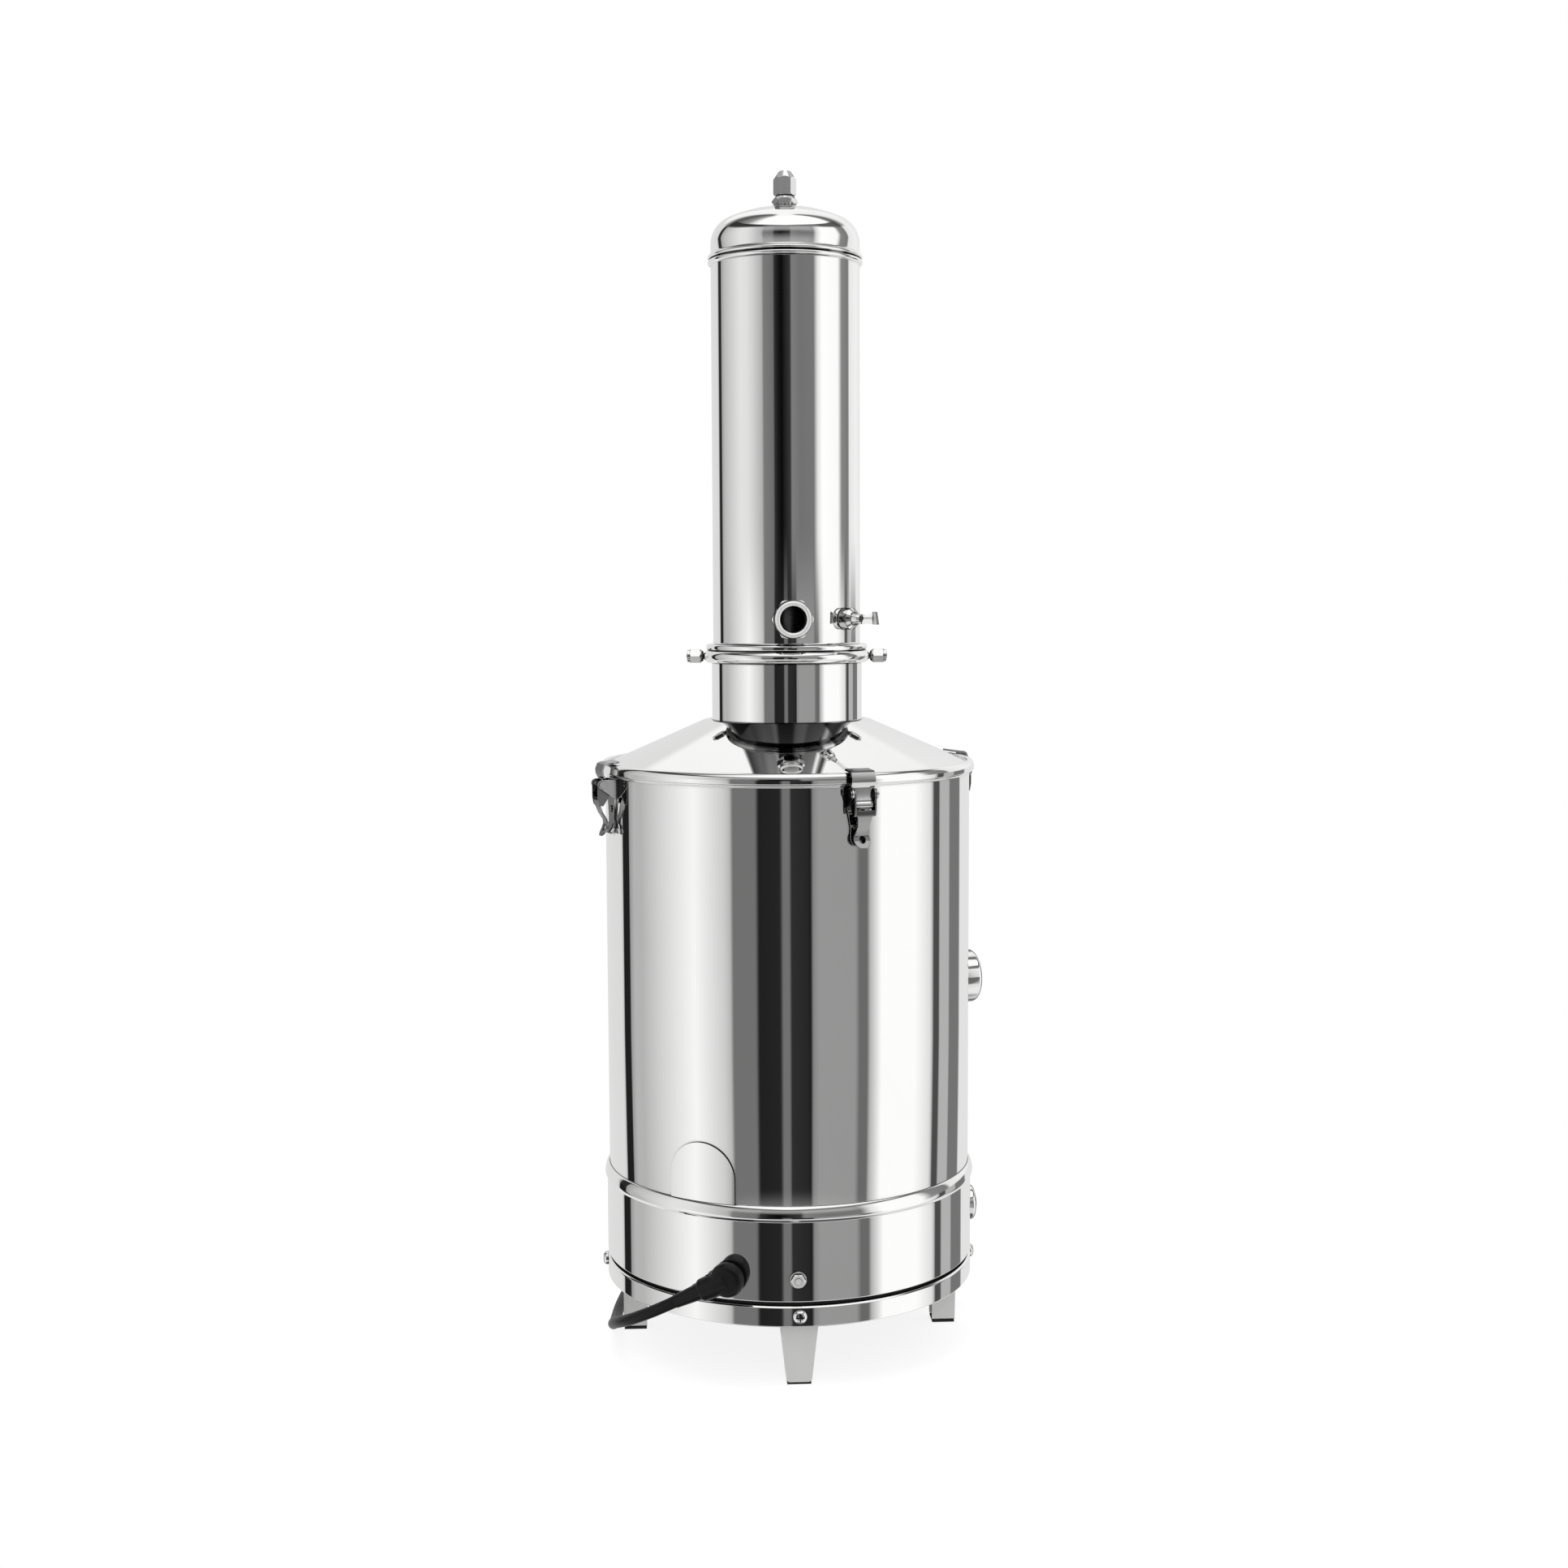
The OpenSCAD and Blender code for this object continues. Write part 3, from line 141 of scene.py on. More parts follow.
def sizes():
    """The shells' sizes, radii and levels in millimetres, from the sizes a user can change."""
    given = bpy.context.scene.distiller_sizes
    s = SimpleNamespace(**{k: getattr(given, k) / MM for k in DistillerSizes.__annotations__})
    s.cone_slope = given.cone_slope
    s.fit, s.gap = 0.05, 0.3
    s.ring_top = s.leg_h + s.ring_h
    s.band_low = s.ring_top + s.groove_h
    s.band_top = s.band_low + s.band_h
    s.floor_z = s.band_top - 3.6
    s.rim_low = s.band_top + s.wall_h - 1
    s.rim_top = s.rim_low + 2.9
    s.skirt_low = s.rim_top - 1.6
    s.bead_top = s.skirt_low + s.bead_h
    s.seal_top = s.rim_top + s.seal_h
    s.rim_r = s.body_r + s.rim_out
    s.bead_r = s.rim_r + s.bead_out
    s.band_r = s.body_r + s.band_out
    s.lip_r = s.band_r + s.lip_out
    s.ring_r = s.band_r + 0.1
    s.pan_r = s.band_r - s.groove_d
    s.inner_r = s.body_r - s.sheet
    s.neck_r = s.column_r + 5.4
    s.foot_r = s.bead_r - 5.9
    s.foot_z = s.bead_top - 1.6
    s.neck_z = s.foot_z + (s.foot_r - s.neck_r) * tan(s.cone_slope)
    s.clamp_low = s.neck_z + s.column_h - 0.6
    s.clamp_top = s.clamp_low + s.clamp_h
    s.tower_r = s.column_r - 1.05
    s.spigot_r = s.column_r - s.tower_t - s.fit
    s.tower_top = s.clamp_top + s.tower_h
    s.tangent_z = s.tower_top + s.skirt_h
    s.crown_z = s.tangent_z + s.crown_r - sqrt((s.crown_r - s.knuckle_r) ** 2
                                               - (s.tower_r - s.knuckle_r) ** 2)
    s.port_az, s.port_z, s.port_hole = 4, s.clamp_top + 20.1, 9.4
    s.petcock_az, s.petcock_hole = 50, 3.1
    s.sight_az, s.sight_z, s.sight_hole = 110, 228, 12.4
    s.cover_az, s.head_r = -26.9, s.band_r + 0.8
    return s


# Outlines and grids

def arc(centre, r, a0, a1, n):
    """Points centre + r (cos a, sin a) for n + 1 angles from a0 to a1, in degrees."""
    a = np.radians(np.linspace(a0, a1, n + 1))
    return np.column_stack([centre[0] + r * np.cos(a), centre[1] + r * np.sin(a)])


def eased(outline, r, n=5):
    """Closed outline whose corners P become the curves (1-t)^2 A + 2t(1-t) P + t^2 B.

    A and B lie on P's two sides at the distance r, or at 0.42 of a short side. A support point
    follows at twice that distance, so that shading stays flat along the sides. Points where the
    outline turns by less than 18 degrees stay as they are."""
    p = np.asarray(outline, float)
    back, on = np.roll(p, 1, 0) - p, np.roll(p, -1, 0) - p
    lb, lo = (np.linalg.norm(v, axis=1)[:, None] for v in (back, on))
    back, on = back / lb, on / lo
    rb, ro = np.minimum(r, 0.42 * lb), np.minimum(r, 0.42 * lo)
    a, b = p + back * rb, p + on * ro
    t = np.linspace(0, 1, n)[None, :, None]
    curve = (1 - t) ** 2 * a[:, None] + 2 * t * (1 - t) * p[:, None] + t ** 2 * b[:, None]
    first = p + back * np.minimum(2 * rb, 0.47 * lb)
    last = p + on * np.minimum(2 * ro, 0.47 * lo)
    soft = np.concatenate([first[:, None], curve, last[:, None]], 1)
    sharp = (back * on).sum(1) > -cos(radians(18))
    return np.concatenate([c if turn else q[None] for c, q, turn in zip(soft, p, sharp)])


def near(rho, z, offsets):
    """Outline points by their offsets from (rho, z)."""
    return np.add(offsets, (rho, z))


def spline(points, per):
    """Catmull-Rom curve: each stretch P1..P2 is the cubic with slopes (P2-P0)/2 and (P3-P1)/2."""
    p = np.asarray(points, float)
    p = np.concatenate([2 * p[:1] - p[1:2], p, 2 * p[-1:] - p[-2:-1]])
    t = (np.arange(per) / per)[None, :, None]
    p0, p1, p2, p3 = (p[i:len(p) - 3 + i, None] for i in range(4))
    curve = 0.5 * (2 * p1 + (p2 - p0) * t + (2 * p0 - 5 * p1 + 4 * p2 - p3) * t ** 2
                   + (3 * p1 - p0 - 3 * p2 + p3) * t ** 3)
    return np.concatenate([curve.reshape(-1, p.shape[1]), p[-2:-1]])


def with_rows(outline, levels):
    """Closed outline with extra points at the given levels on each long upright side."""
    parts = []
    for a, b in zip(outline, np.roll(outline, -1, 0)):
        parts.append(a[None])
        low, high = sorted((a[1], b[1]))
        if low < levels[0] and levels[-1] < high:
            z = levels if b[1] > a[1] else levels[::-1]
            parts.append(a + (z - a[1])[:, None] / (b[1] - a[1]) * (b - a))
    return np.concatenate(parts)


def quads(rows, columns, wrap_rows=False, wrap_columns=False):
    """Corner numbers of the cells of a grid of rows x columns points, with either way closed."""
    i, j = np.meshgrid(np.arange(rows if wrap_rows else rows - 1),
                       np.arange(columns if wrap_columns else columns - 1), indexing="ij")
    i2, j2 = (i + 1) % rows, (j + 1) % columns
    return np.stack([i * columns + j, i2 * columns + j, i2 * columns + j2, i * columns + j2],
                    -1).reshape(-1, 4)


def revolved(outline, steps):
    """Grid of a turned shape: (rho, z) goes to (rho sin a, -rho cos a, z) at each of the steps."""
    a = 2 * pi * np.arange(steps) / steps
    rho, z = np.asarray(outline, float).T
    return np.stack([np.outer(np.sin(a), rho), np.outer(-np.cos(a), rho),
                     np.tile(z, (steps, 1))], -1)


def at_az(points, azimuth):
    """Points turned about +Z from -Y to an azimuth in degrees."""
    c, s = cos(radians(azimuth)), sin(radians(azimuth))
    x, y, z = np.moveaxis(np.asarray(points, float), -1, 0)
    return np.stack([x * c - y * s, x * s + y * c, z], -1)


def facing_out(points, azimuth, rho, z):
    """Points drawn with +Z outwards and +Y up, moved to an azimuth, a radius and a height."""
    x, y, w = np.moveaxis(np.asarray(points, float), -1, 0)
    return at_az(np.stack([x, -rho - w, z + y], -1), azimuth)


# Meshes

def mesh_of(points, faces, weld=0.002, smooth=30.0):
    """Mesh in metres from points in millimetres and arrays of corner numbers.

    Doubles are merged, the faces turned outwards, and edges over the angle left sharp."""
    points = np.asarray(points, float).reshape(-1, 3)
    faces = faces if isinstance(faces, list) else [faces]
    mesh = bpy.data.meshes.new("mesh")
    mesh.vertices.add(len(points))
    mesh.vertices.foreach_set("co", (points * MM).ravel())
    corners = np.concatenate([f.ravel() for f in faces]).astype(np.int32)
    counts = np.concatenate([np.full(len(f), f.shape[1]) for f in faces])
    mesh.loops.add(len(corners))
    mesh.loops.foreach_set("vertex_index", corners)
    mesh.polygons.add(len(counts))
    mesh.polygons.foreach_set("loop_start", (np.cumsum(counts) - counts).astype(np.int32))
    mesh.update(calc_edges=True)
    cells = bmesh.new()
    cells.from_mesh(mesh)
    bmesh.ops.remove_doubles(cells, verts=cells.verts, dist=weld * MM)
    bmesh.ops.dissolve_degenerate(cells, edges=cells.edges, dist=weld * MM / 4)
    bmesh.ops.recalc_face_normals(cells, faces=cells.faces)
    cells.to_mesh(mesh)
    cells.free()
    shade(mesh, smooth)
    return mesh


def shade(mesh, smooth):
    """Smooth shading, with the edges over the angle in degrees left sharp."""
    mesh.polygons.foreach_set("use_smooth", np.ones(len(mesh.polygons), bool))
    mesh.set_sharp_from_angle(angle=radians(smooth))
    mesh.update()


def joined(parts):
    """One mesh from several (points, faces) parts, each with one array of faces."""
    starts = np.cumsum([0] + [p.size // 3 for p, _ in parts])
    points = np.concatenate([p.reshape(-1, 3) for p, _ in parts])
    return mesh_of(points, [f + start for (_, f), start in zip(parts, starts)])


def ring_part(outline, steps, place=lambda p: p):
    """(points, faces) of a turned closed outline, moved by place."""
    grid = revolved(outline, steps)
    return place(grid), quads(steps, grid.shape[1], True, True)


def linked(name, data):
    """New object in the scene, with its mesh, camera or light."""
    made = bpy.data.objects.new(name, data)
    bpy.context.scene.collection.objects.link(made)
    return made


def put(name, mesh, finish, body, slot, *nodes):
    """Links a piece, gives it its finish and body, and hides the nodes it stands for; slot is not
    used.
    """
    mesh.name = name
    piece = linked(name, mesh)
    mesh.materials.append(material(finish))
    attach(piece, body)
    if nodes:
        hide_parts(*nodes)
    return piece


def shell(name, outline, body, node, finish="polished_shell", holes=(), levels=None,
          round_off=0.35):
    """A turned sheet shell. Cells whose middle lies in a hole (azimuth, z, r) are left out, the
    corners round it are drawn onto its circle, and its inner and outer edges are bridged."""
    steps = bpy.context.scene.distiller_finish.shell_steps
    p = eased(outline, round_off)
    if levels is not None:
        p = with_rows(p, levels)
    grid = revolved(p, steps)
    m = grid.shape[1]
    cells = quads(steps, m, True, True)
    flat = grid.reshape(-1, 3)
    keep = np.ones(len(cells), bool)
    for azimuth, z, r in holes:
        rho = np.hypot(flat[:, 0], flat[:, 1])
        turn = np.degrees(np.arctan2(flat[:, 0], -flat[:, 1])) - azimuth
        turn = np.radians((turn + 180) % 360 - 180)
        across = np.hypot(rho * turn, flat[:, 2] - z)
        middle = np.hypot((rho * turn)[cells].mean(1), flat[cells, 2].mean(1) - z)
        # A cell opposite the hole, where the angle jumps by a full turn, spans over a radian
        inside = (middle < r) & (np.ptp(turn[cells], axis=1) < 1)
        edge = np.intersect1d(cells[inside].ravel(), cells[~inside].ravel())
        pull = r / np.maximum(across[edge], 1e-6)
        new_turn = turn[edge] * pull + radians(azimuth)
        flat[edge] = np.column_stack([rho[edge] * np.sin(new_turn), -rho[edge] * np.cos(new_turn),
                                      z + (flat[edge, 2] - z) * pull])
        keep &= ~inside
    mesh = mesh_of(flat, cells[keep])
    reach = 8
    for azimuth, z, r in holes:
        work = bmesh.new()
        work.from_mesh(mesh)
        centre = Vector(at_az([0, -flat[:, 0].max(), z], azimuth) * MM)
        rim = [e for e in work.edges if e.is_boundary
               and (e.verts[0].co - centre).length < (r + reach) * MM]
        bmesh.ops.bridge_loops(work, edges=rim)
        bmesh.ops.recalc_face_normals(work, faces=work.faces)
        work.to_mesh(mesh)
        work.free()
    shade(mesh, 30)
    return put(name, mesh, finish, body, "polished_steel", node)


# Materials

def feed(tree, node, inputs):
    """Links each of a node's inputs that is given a socket, and sets any other."""
    for key, value in dict(inputs).items():
        if isinstance(value, bpy.types.NodeSocket):
            tree.links.new(value, node.inputs[key])
        else:
            node.inputs[key].default_value = value


def wire(tree, kind, inputs=(), **settings):
    """Adds a shader node with its settings and inputs."""
    made = tree.nodes.new("ShaderNode" + kind)
    for key, value in settings.items():
        setattr(made, key, value)
    feed(tree, made, inputs)
    return made


def calc(tree, operation, a, b=0.0, c=0.0):
    """Output of a Math node."""
    return wire(tree, "Math", {0: a, 1: b, 2: c}, operation=operation).outputs[0]


def ranged(tree, value, low, high, to_low=0.0, to_high=1.0, kind="SMOOTHSTEP"):
    """Output of a Map Range node."""
    return wire(tree, "MapRange", {"Value": value, "From Min": low, "From Max": high,
                                   "To Min": to_low, "To Max": to_high},
                interpolation_type=kind).outputs[0]


def tone(tint, share=1.0):
    """Opaque colour: a tint made darker or paler by a share."""
    return (*[min(1.0, c * share) for c in tint], 1.0)


def mixed(tree, factor, a, b):
    """Colour between a and b, each a socket, a grey or a colour."""
    a, b = ((v, v, v, 1.0) if isinstance(v, float) else v for v in (a, b))
    return wire(tree, "Mix", {0: factor, 6: a, 7: b}, data_type="RGBA").outputs[2]


def noise(tree, vector, **settings):
    """Output of a Noise Texture node at a vector that is already scaled."""
    named = {key.capitalize(): value for key, value in settings.items()}
    return wire(tree, "TexNoise", {"Vector": vector, "Scale": 1.0, **named}).outputs[0]


def effect(*outputs, **inputs):
    """Turns build(tree, source), which returns a socket for each output, into a maker of a
    shader node group with that name, made once."""
    def named(build):
        def group():
            name = build.__name__
            if name in bpy.data.node_groups:
                return bpy.data.node_groups[name]
            tree = bpy.data.node_groups.new(name, "ShaderNodeTree")
            for label, default in inputs.items():
                tree.interface.new_socket(label, in_out="INPUT",
                                          socket_type="NodeSocketFloat").default_value = default
            for label in outputs:
                kind = "NodeSocketVector" if label == "Normal" else "NodeSocketFloat"
                tree.interface.new_socket(label, in_out="OUTPUT", socket_type=kind)
            source = tree.nodes.new("NodeGroupInput")
            sink = tree.nodes.new("NodeGroupOutput")
            for label, socket in zip(outputs, build(tree, source.outputs)):
                tree.links.new(socket, sink.inputs[label])
            return tree
        return group
    return named


def use(tree, group, **values):
    """Places a node group in a material with its own values."""
    made = tree.nodes.new("ShaderNodeGroup")
    made.node_tree = group
    for key, value in values.items():
        made.inputs[key.replace("_", " ").capitalize()].default_value = value
    return made.outputs


def object_point(tree, x=1.0, y=1.0, z=1.0):
    """Object coordinates, scaled."""
    coords = wire(tree, "TexCoord").outputs["Object"]
    return wire(tree, "Mapping", {"Vector": coords, "Scale": (x, y, z)}).outputs[0]


@effect("Height", "Mask", Depth=1.0)
def polishing_lines(tree, source):
    """Fine lines left by a polishing wheel: noise stretched round the axis, fast along Z."""
    lines = noise(tree, object_point(tree, 9.0, 9.0, 1500.0), detail=3.0)
    return calc(tree, "MULTIPLY", lines, source["Depth"]), ranged(tree, lines, 0.35, 0.7)


@effect("Mask", Amount=1.0)
def handling_marks(tree, source):
    """Faint smears: soft noise with a threshold, wiped sideways."""
    smears = noise(tree, object_point(tree, 22.0, 22.0, 13.0), detail=5.0, roughness=0.6,
                   distortion=0.7)
    return [calc(tree, "MULTIPLY", ranged(tree, smears, 0.5, 0.72), source["Amount"])]


@effect("Height", Depth=1.0)
def sheet_waviness(tree, source):
    """Long waves of rolled and spun sheet, as a height in metres."""
    waves = noise(tree, object_point(tree, 13.0, 13.0, 6.0), detail=1.0)
    return [calc(tree, "MULTIPLY", waves, source["Depth"])]


@effect("Normal", "Mask", Radius=0.0004)
def rounded_edges(tree, source):
    """Edges as a press or a file leaves them: a rounded normal, and a mask where it turns."""
    soft = wire(tree, "Bevel", {"Radius": source["Radius"]}, samples=6).outputs[0]
    plain = wire(tree, "NewGeometry").outputs["Normal"]
    same = wire(tree, "VectorMath", {0: soft, 1: plain}, operation="DOT_PRODUCT")
    return soft, ranged(tree, same.outputs["Value"], 1.0, 0.8)


@effect("Height", "Mask", Scale=1500.0, Depth=1.0)
def fine_grain(tree, source):
    """Even grain of a moulded, cast or blasted surface."""
    fine = noise(tree, object_point(tree), scale=source["Scale"], detail=4.0, roughness=0.6)
    return calc(tree, "MULTIPLY", fine, source["Depth"]), ranged(tree, fine, 0.3, 0.7)


@effect("Height", Slope=0.08)
def spun_crown(tree, source):
    """Faint crown that spinning leaves across a cone: a height that falls evenly with rho."""
    point = object_point(tree, 1.0, 1.0, 0.0)
    rho = wire(tree, "VectorMath", {0: point}, operation="LENGTH").outputs["Value"]
    return [calc(tree, "MULTIPLY", rho, calc(tree, "MULTIPLY", source["Slope"], -1.0))]


@effect("Mask", Reach=0.0015)
def crevices(tree, source):
    """Painted shade where two pieces or two faces meet: how open the surface is nearby, from
    ambient occlusion, as a mask that darkens the colour in creases.
    """
    near = wire(tree, "AmbientOcclusion", {"Distance": source["Reach"]}, samples=6)
    return [ranged(tree, near.outputs["AO"], 0.42, 0.88)]


@effect("Mask")
def overhead_flags(tree, source):
    """Painted reflection: brightness by azimuth and height painted into a tower face's colour for
    glossy rays, so that the cone under it mirrors the flags overhead, darker low down.
    """
    point = wire(tree, "SeparateXYZ", {0: object_point(tree)}).outputs
    low = ranged(tree, point["Z"], 0.444, 0.447, 0.35, 1.0)
    shown = studio_ramp(tree, azimuth_of(tree, point), PAINTED_FLAG_STOPS)
    return [calc(tree, "MULTIPLY", shown, low)]


def raised(tree, height, distance, normal=None):
    """Normal that a Bump node gives a height, over another normal if there is one."""
    under = {"Normal": normal} if normal else {}
    return wire(tree, "Bump", {"Height": height, "Distance": distance, **under}).outputs[0]


def steel_finish(tree, tint, share=1.0, shine=0.02, lines=0.1, waves=0.0, marks=0.2, grain=0.0,
                 edge=0.0, metal=1.0, crown=0.0, seam=0.003, turned=0.0, flags=False):
    """Bright steel: a share of the tint dulled by smears, roughness from smears and lines, height
    from all. Painted shade darkens the colour in creases within a reach and on faces turned away
    from the view; rounded edges get a painted highlight, and a tower's colour can carry a painted
    reflection of the overhead flags for glossy rays."""
    tint = tone(tint, share)[:3]
    smear = use(tree, handling_marks(), amount=marks)["Mask"]
    line = use(tree, polishing_lines(), depth=lines)
    rough = calc(tree, "MULTIPLY_ADD", smear, 0.06, shine)
    rough = calc(tree, "MULTIPLY_ADD", line["Mask"], 0.02 * min(lines, 1), rough)
    base = mixed(tree, smear, tone(tint), tone(tint, 0.94))
    height, normal = line["Height"], None
    if edge:
        soft = use(tree, rounded_edges(), radius=edge)
        normal = soft["Normal"]
        # Painted highlight: rounded edges a little paler
        base = mixed(tree, soft["Mask"], base, tone(tint, 1.06))
    if grain:
        seed = use(tree, fine_grain(), scale=1100.0, depth=grain)
        height = calc(tree, "ADD", height, seed["Height"])
        rough = calc(tree, "MULTIPLY_ADD", seed["Mask"], 0.1, rough)
    # Painted shade: the colour goes nearly black in creases, by ambient occlusion
    base = mixed(tree, use(tree, crevices(), reach=seam)["Mask"], tone(tint, 0.03), base)
    # Painted shade: faces turned away from the view go nearly black
    if turned:
        away = wire(tree, "LayerWeight", {"Blend": 0.5}).outputs["Facing"]
        base = mixed(tree, ranged(tree, away, turned, turned + 0.2), base, tone(tint, 0.02))
    # Painted reflection: glossy rays see the overhead flags painted into the colour
    if flags:
        seen = wire(tree, "LightPath").outputs["Is Glossy Ray"]
        base = mixed(tree, seen, base, use(tree, overhead_flags())["Mask"])
    normal = raised(tree, height, 2e-7, normal)
    normal = raised(tree, use(tree, sheet_waviness(), depth=waves)["Height"], 2e-5, normal)
    if crown:
        normal = raised(tree, use(tree, spun_crown(), slope=crown)["Height"], 1.0, normal)
    return {"Base Color": base, "Roughness": rough, "Normal": normal, "Metallic": metal}


def matt_finish(tree, tint, rough, grain, depth, edge=0.0, fade=1.5):
    """Moulded or mineral surface: grain in height and roughness, and paler rubbed edges."""
    seed = use(tree, fine_grain(), scale=grain, depth=1.0)
    smear = use(tree, handling_marks(), amount=0.6)["Mask"]
    base = mixed(tree, seed["Mask"], tone(tint, 0.85), tone(tint))
    base = mixed(tree, smear, base, tone(tint, 1.15))
    normal = None
    if edge:
        soft = use(tree, rounded_edges(), radius=edge)
        normal = soft["Normal"]
        base = mixed(tree, soft["Mask"], base, tone(tint, fade))
    coarse = calc(tree, "MULTIPLY_ADD", seed["Mask"], 0.1, rough)
    coarse = calc(tree, "MULTIPLY_ADD", smear, 0.05, coarse)
    return {"Base Color": base, "Roughness": coarse, "Specular IOR Level": 0.22,
            "Normal": raised(tree, seed["Height"], depth, normal)}


def woven_finish(tree, tint):
    """Flat woven tape: two crossed wave textures lift the threads."""
    point = object_point(tree)
    warp, weft = (wire(tree, "TexWave", {"Vector": point, "Scale": 420.0, "Distortion": 0.4},
                       bands_direction=way).outputs["Fac"] for way in ("Y", "DIAGONAL"))
    cloth = calc(tree, "MAXIMUM", warp, weft)
    return {"Base Color": mixed(tree, cloth, tone(tint, 0.4), tone(tint)),
            "Roughness": ranged(tree, cloth, 0, 1, 0.95, 0.75),
            "Normal": raised(tree, cloth, 0.0002)}


def glass_finish(tree):
    """Clear pane with a few wiped smears."""
    smear = use(tree, handling_marks(), amount=0.5)["Mask"]
    return {"Base Color": mixed(tree, smear, (0.97, 0.99, 0.98, 1), (0.93, 0.95, 0.94, 1)),
            "Roughness": calc(tree, "MULTIPLY", smear, 0.05), "Transmission Weight": 1.0,
            "IOR": 1.5}


# Bright steels: the tint and what steel_finish takes
STEELS = {
    "polished_shell": ("steel", dict(shine=0.022, lines=0.25, waves=0.6, marks=0.25)),
    "spun_cone": ("steel", dict(shine=0.022, lines=0.25, marks=0.25, crown=0.085)),
    # The tower's finish carries a painted reflection of the overhead flags
    "polished_tower": ("steel", dict(shine=0.018, lines=0.15, waves=0.5, seam=0.0013, flags=True)),
    "polished_fitting": ("pressed", dict(shine=0.025, seam=0.0012, turned=0.5)),
    "tumbled_fitting": ("pressed", dict(shine=0.03, metal=0.72, seam=0.0012, turned=0.5)),
    "satin_fitting": ("pressed", dict(shine=0.14, lines=0.2, metal=0.3, seam=0.0016, turned=0.42)),
    "pressed_latch": ("pressed", dict(shine=0.03, edge=0.0004, seam=0.004, turned=0.42)),
    # A darker copy of pressed steel: painted shade on the levers
    "shaded_latch": ("pressed", dict(share=0.42, shine=0.03, edge=0.0005, seam=0.004,
                                     turned=0.42)),
    "mill_leg": ("mill", dict(shine=0.34, lines=1.0, waves=0.5, marks=0.6, grain=1.0, edge=0.0005,
                              metal=0.25)),
    # Matt sheared edge, darkened as painted shade for a shadow line round the arched plate
    "sheared_edge": ("mill", dict(share=0.3, shine=0.4, lines=1.0, marks=0.6)),
    "inner_wall": ("inner", dict(shine=0.22, lines=1.0, waves=0.5, marks=0.8, grain=1.0)),
    "brass_fitting": ("brass", dict(shine=0.18, lines=0.5, marks=0.8, grain=0.5, edge=0.0004)),
}
# Moulded and mineral surfaces: the tint and what matt_finish takes
MATTS = {
    "white_silicone": ("silicone", dict(rough=0.42, grain=900.0, depth=2e-5)),
    # Real rubber on the pads and the seal; on the base pan, painted shade in the groove
    "black_rubber": ("rubber", dict(rough=0.62, grain=1400.0, depth=6e-5, edge=0.0004)),
    "moulded_plastic": ("plastic", dict(rough=0.30, grain=2200.0, depth=2.5e-5, edge=0.0005,
                                        fade=2.2)),
    "lead_sheath": ("sheath", dict(rough=0.36, grain=1200.0, depth=2e-5)),
}


def material(name):
    """The named finish, made the first time that it is asked for."""
    if name in bpy.data.materials:
        return bpy.data.materials[name]
    made = bpy.data.materials.new(name)
    made.use_nodes = True
    tree = made.node_tree
    colours = bpy.context.scene.distiller_finish
    if name == "clear_glass":
        inputs = glass_finish(tree)
    elif name == "woven_tie":
        inputs = woven_finish(tree, colours.tie)
    else:
        kind, table = (steel_finish, STEELS) if name in STEELS else (matt_finish, MATTS)
        tint, values = table[name]
        inputs = kind(tree, getattr(colours, tint), **values)
    feed(tree, tree.nodes["Principled BSDF"], inputs)
    return made


def smoothing():
    """Geometry nodes that weld a CAD mesh's triangles and shade it smooth up to 32 degrees."""
    name = "weld_and_smooth"
    if name in bpy.data.node_groups:
        return bpy.data.node_groups[name]
    tree = bpy.data.node_groups.new(name, "GeometryNodeTree")
    for way in ("INPUT", "OUTPUT"):
        tree.interface.new_socket("Geometry", in_out=way, socket_type="NodeSocketGeometry")
    first, last = tree.nodes.new("NodeGroupInput"), tree.nodes.new("NodeGroupOutput")
    weld = tree.nodes.new("GeometryNodeMergeByDistance")
    weld.inputs["Distance"].default_value = 2e-6
    faces, edges = (tree.nodes.new("GeometryNodeSetShadeSmooth") for _ in range(2))
    faces.domain, edges.domain = "FACE", "EDGE"
    angle = tree.nodes.new("GeometryNodeInputMeshEdgeAngle")
    gentle = tree.nodes.new("FunctionNodeCompare")
    gentle.operation = "LESS_EQUAL"
    gentle.inputs["B"].default_value = radians(32)
    tree.links.new(angle.outputs["Unsigned Angle"], gentle.inputs["A"])
    tree.links.new(gentle.outputs["Result"], edges.inputs["Shade Smooth"])
    chain = (first, weld, faces, edges, last)
    for a, b in zip(chain, chain[1:]):
        tree.links.new(a.outputs[0], b.inputs[0])
    return tree


def dress(finish, *names):
    """Gives CAD nodes a finish in their own slots, and smooth shading."""
    for name in names:
        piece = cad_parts[name]
        if not piece.material_slots:
            piece.data.materials.append(None)
        for slot in piece.material_slots:
            slot.material = material(finish)
        piece.modifiers.new("smoothing", "NODES").node_group = smoothing()


# Studio

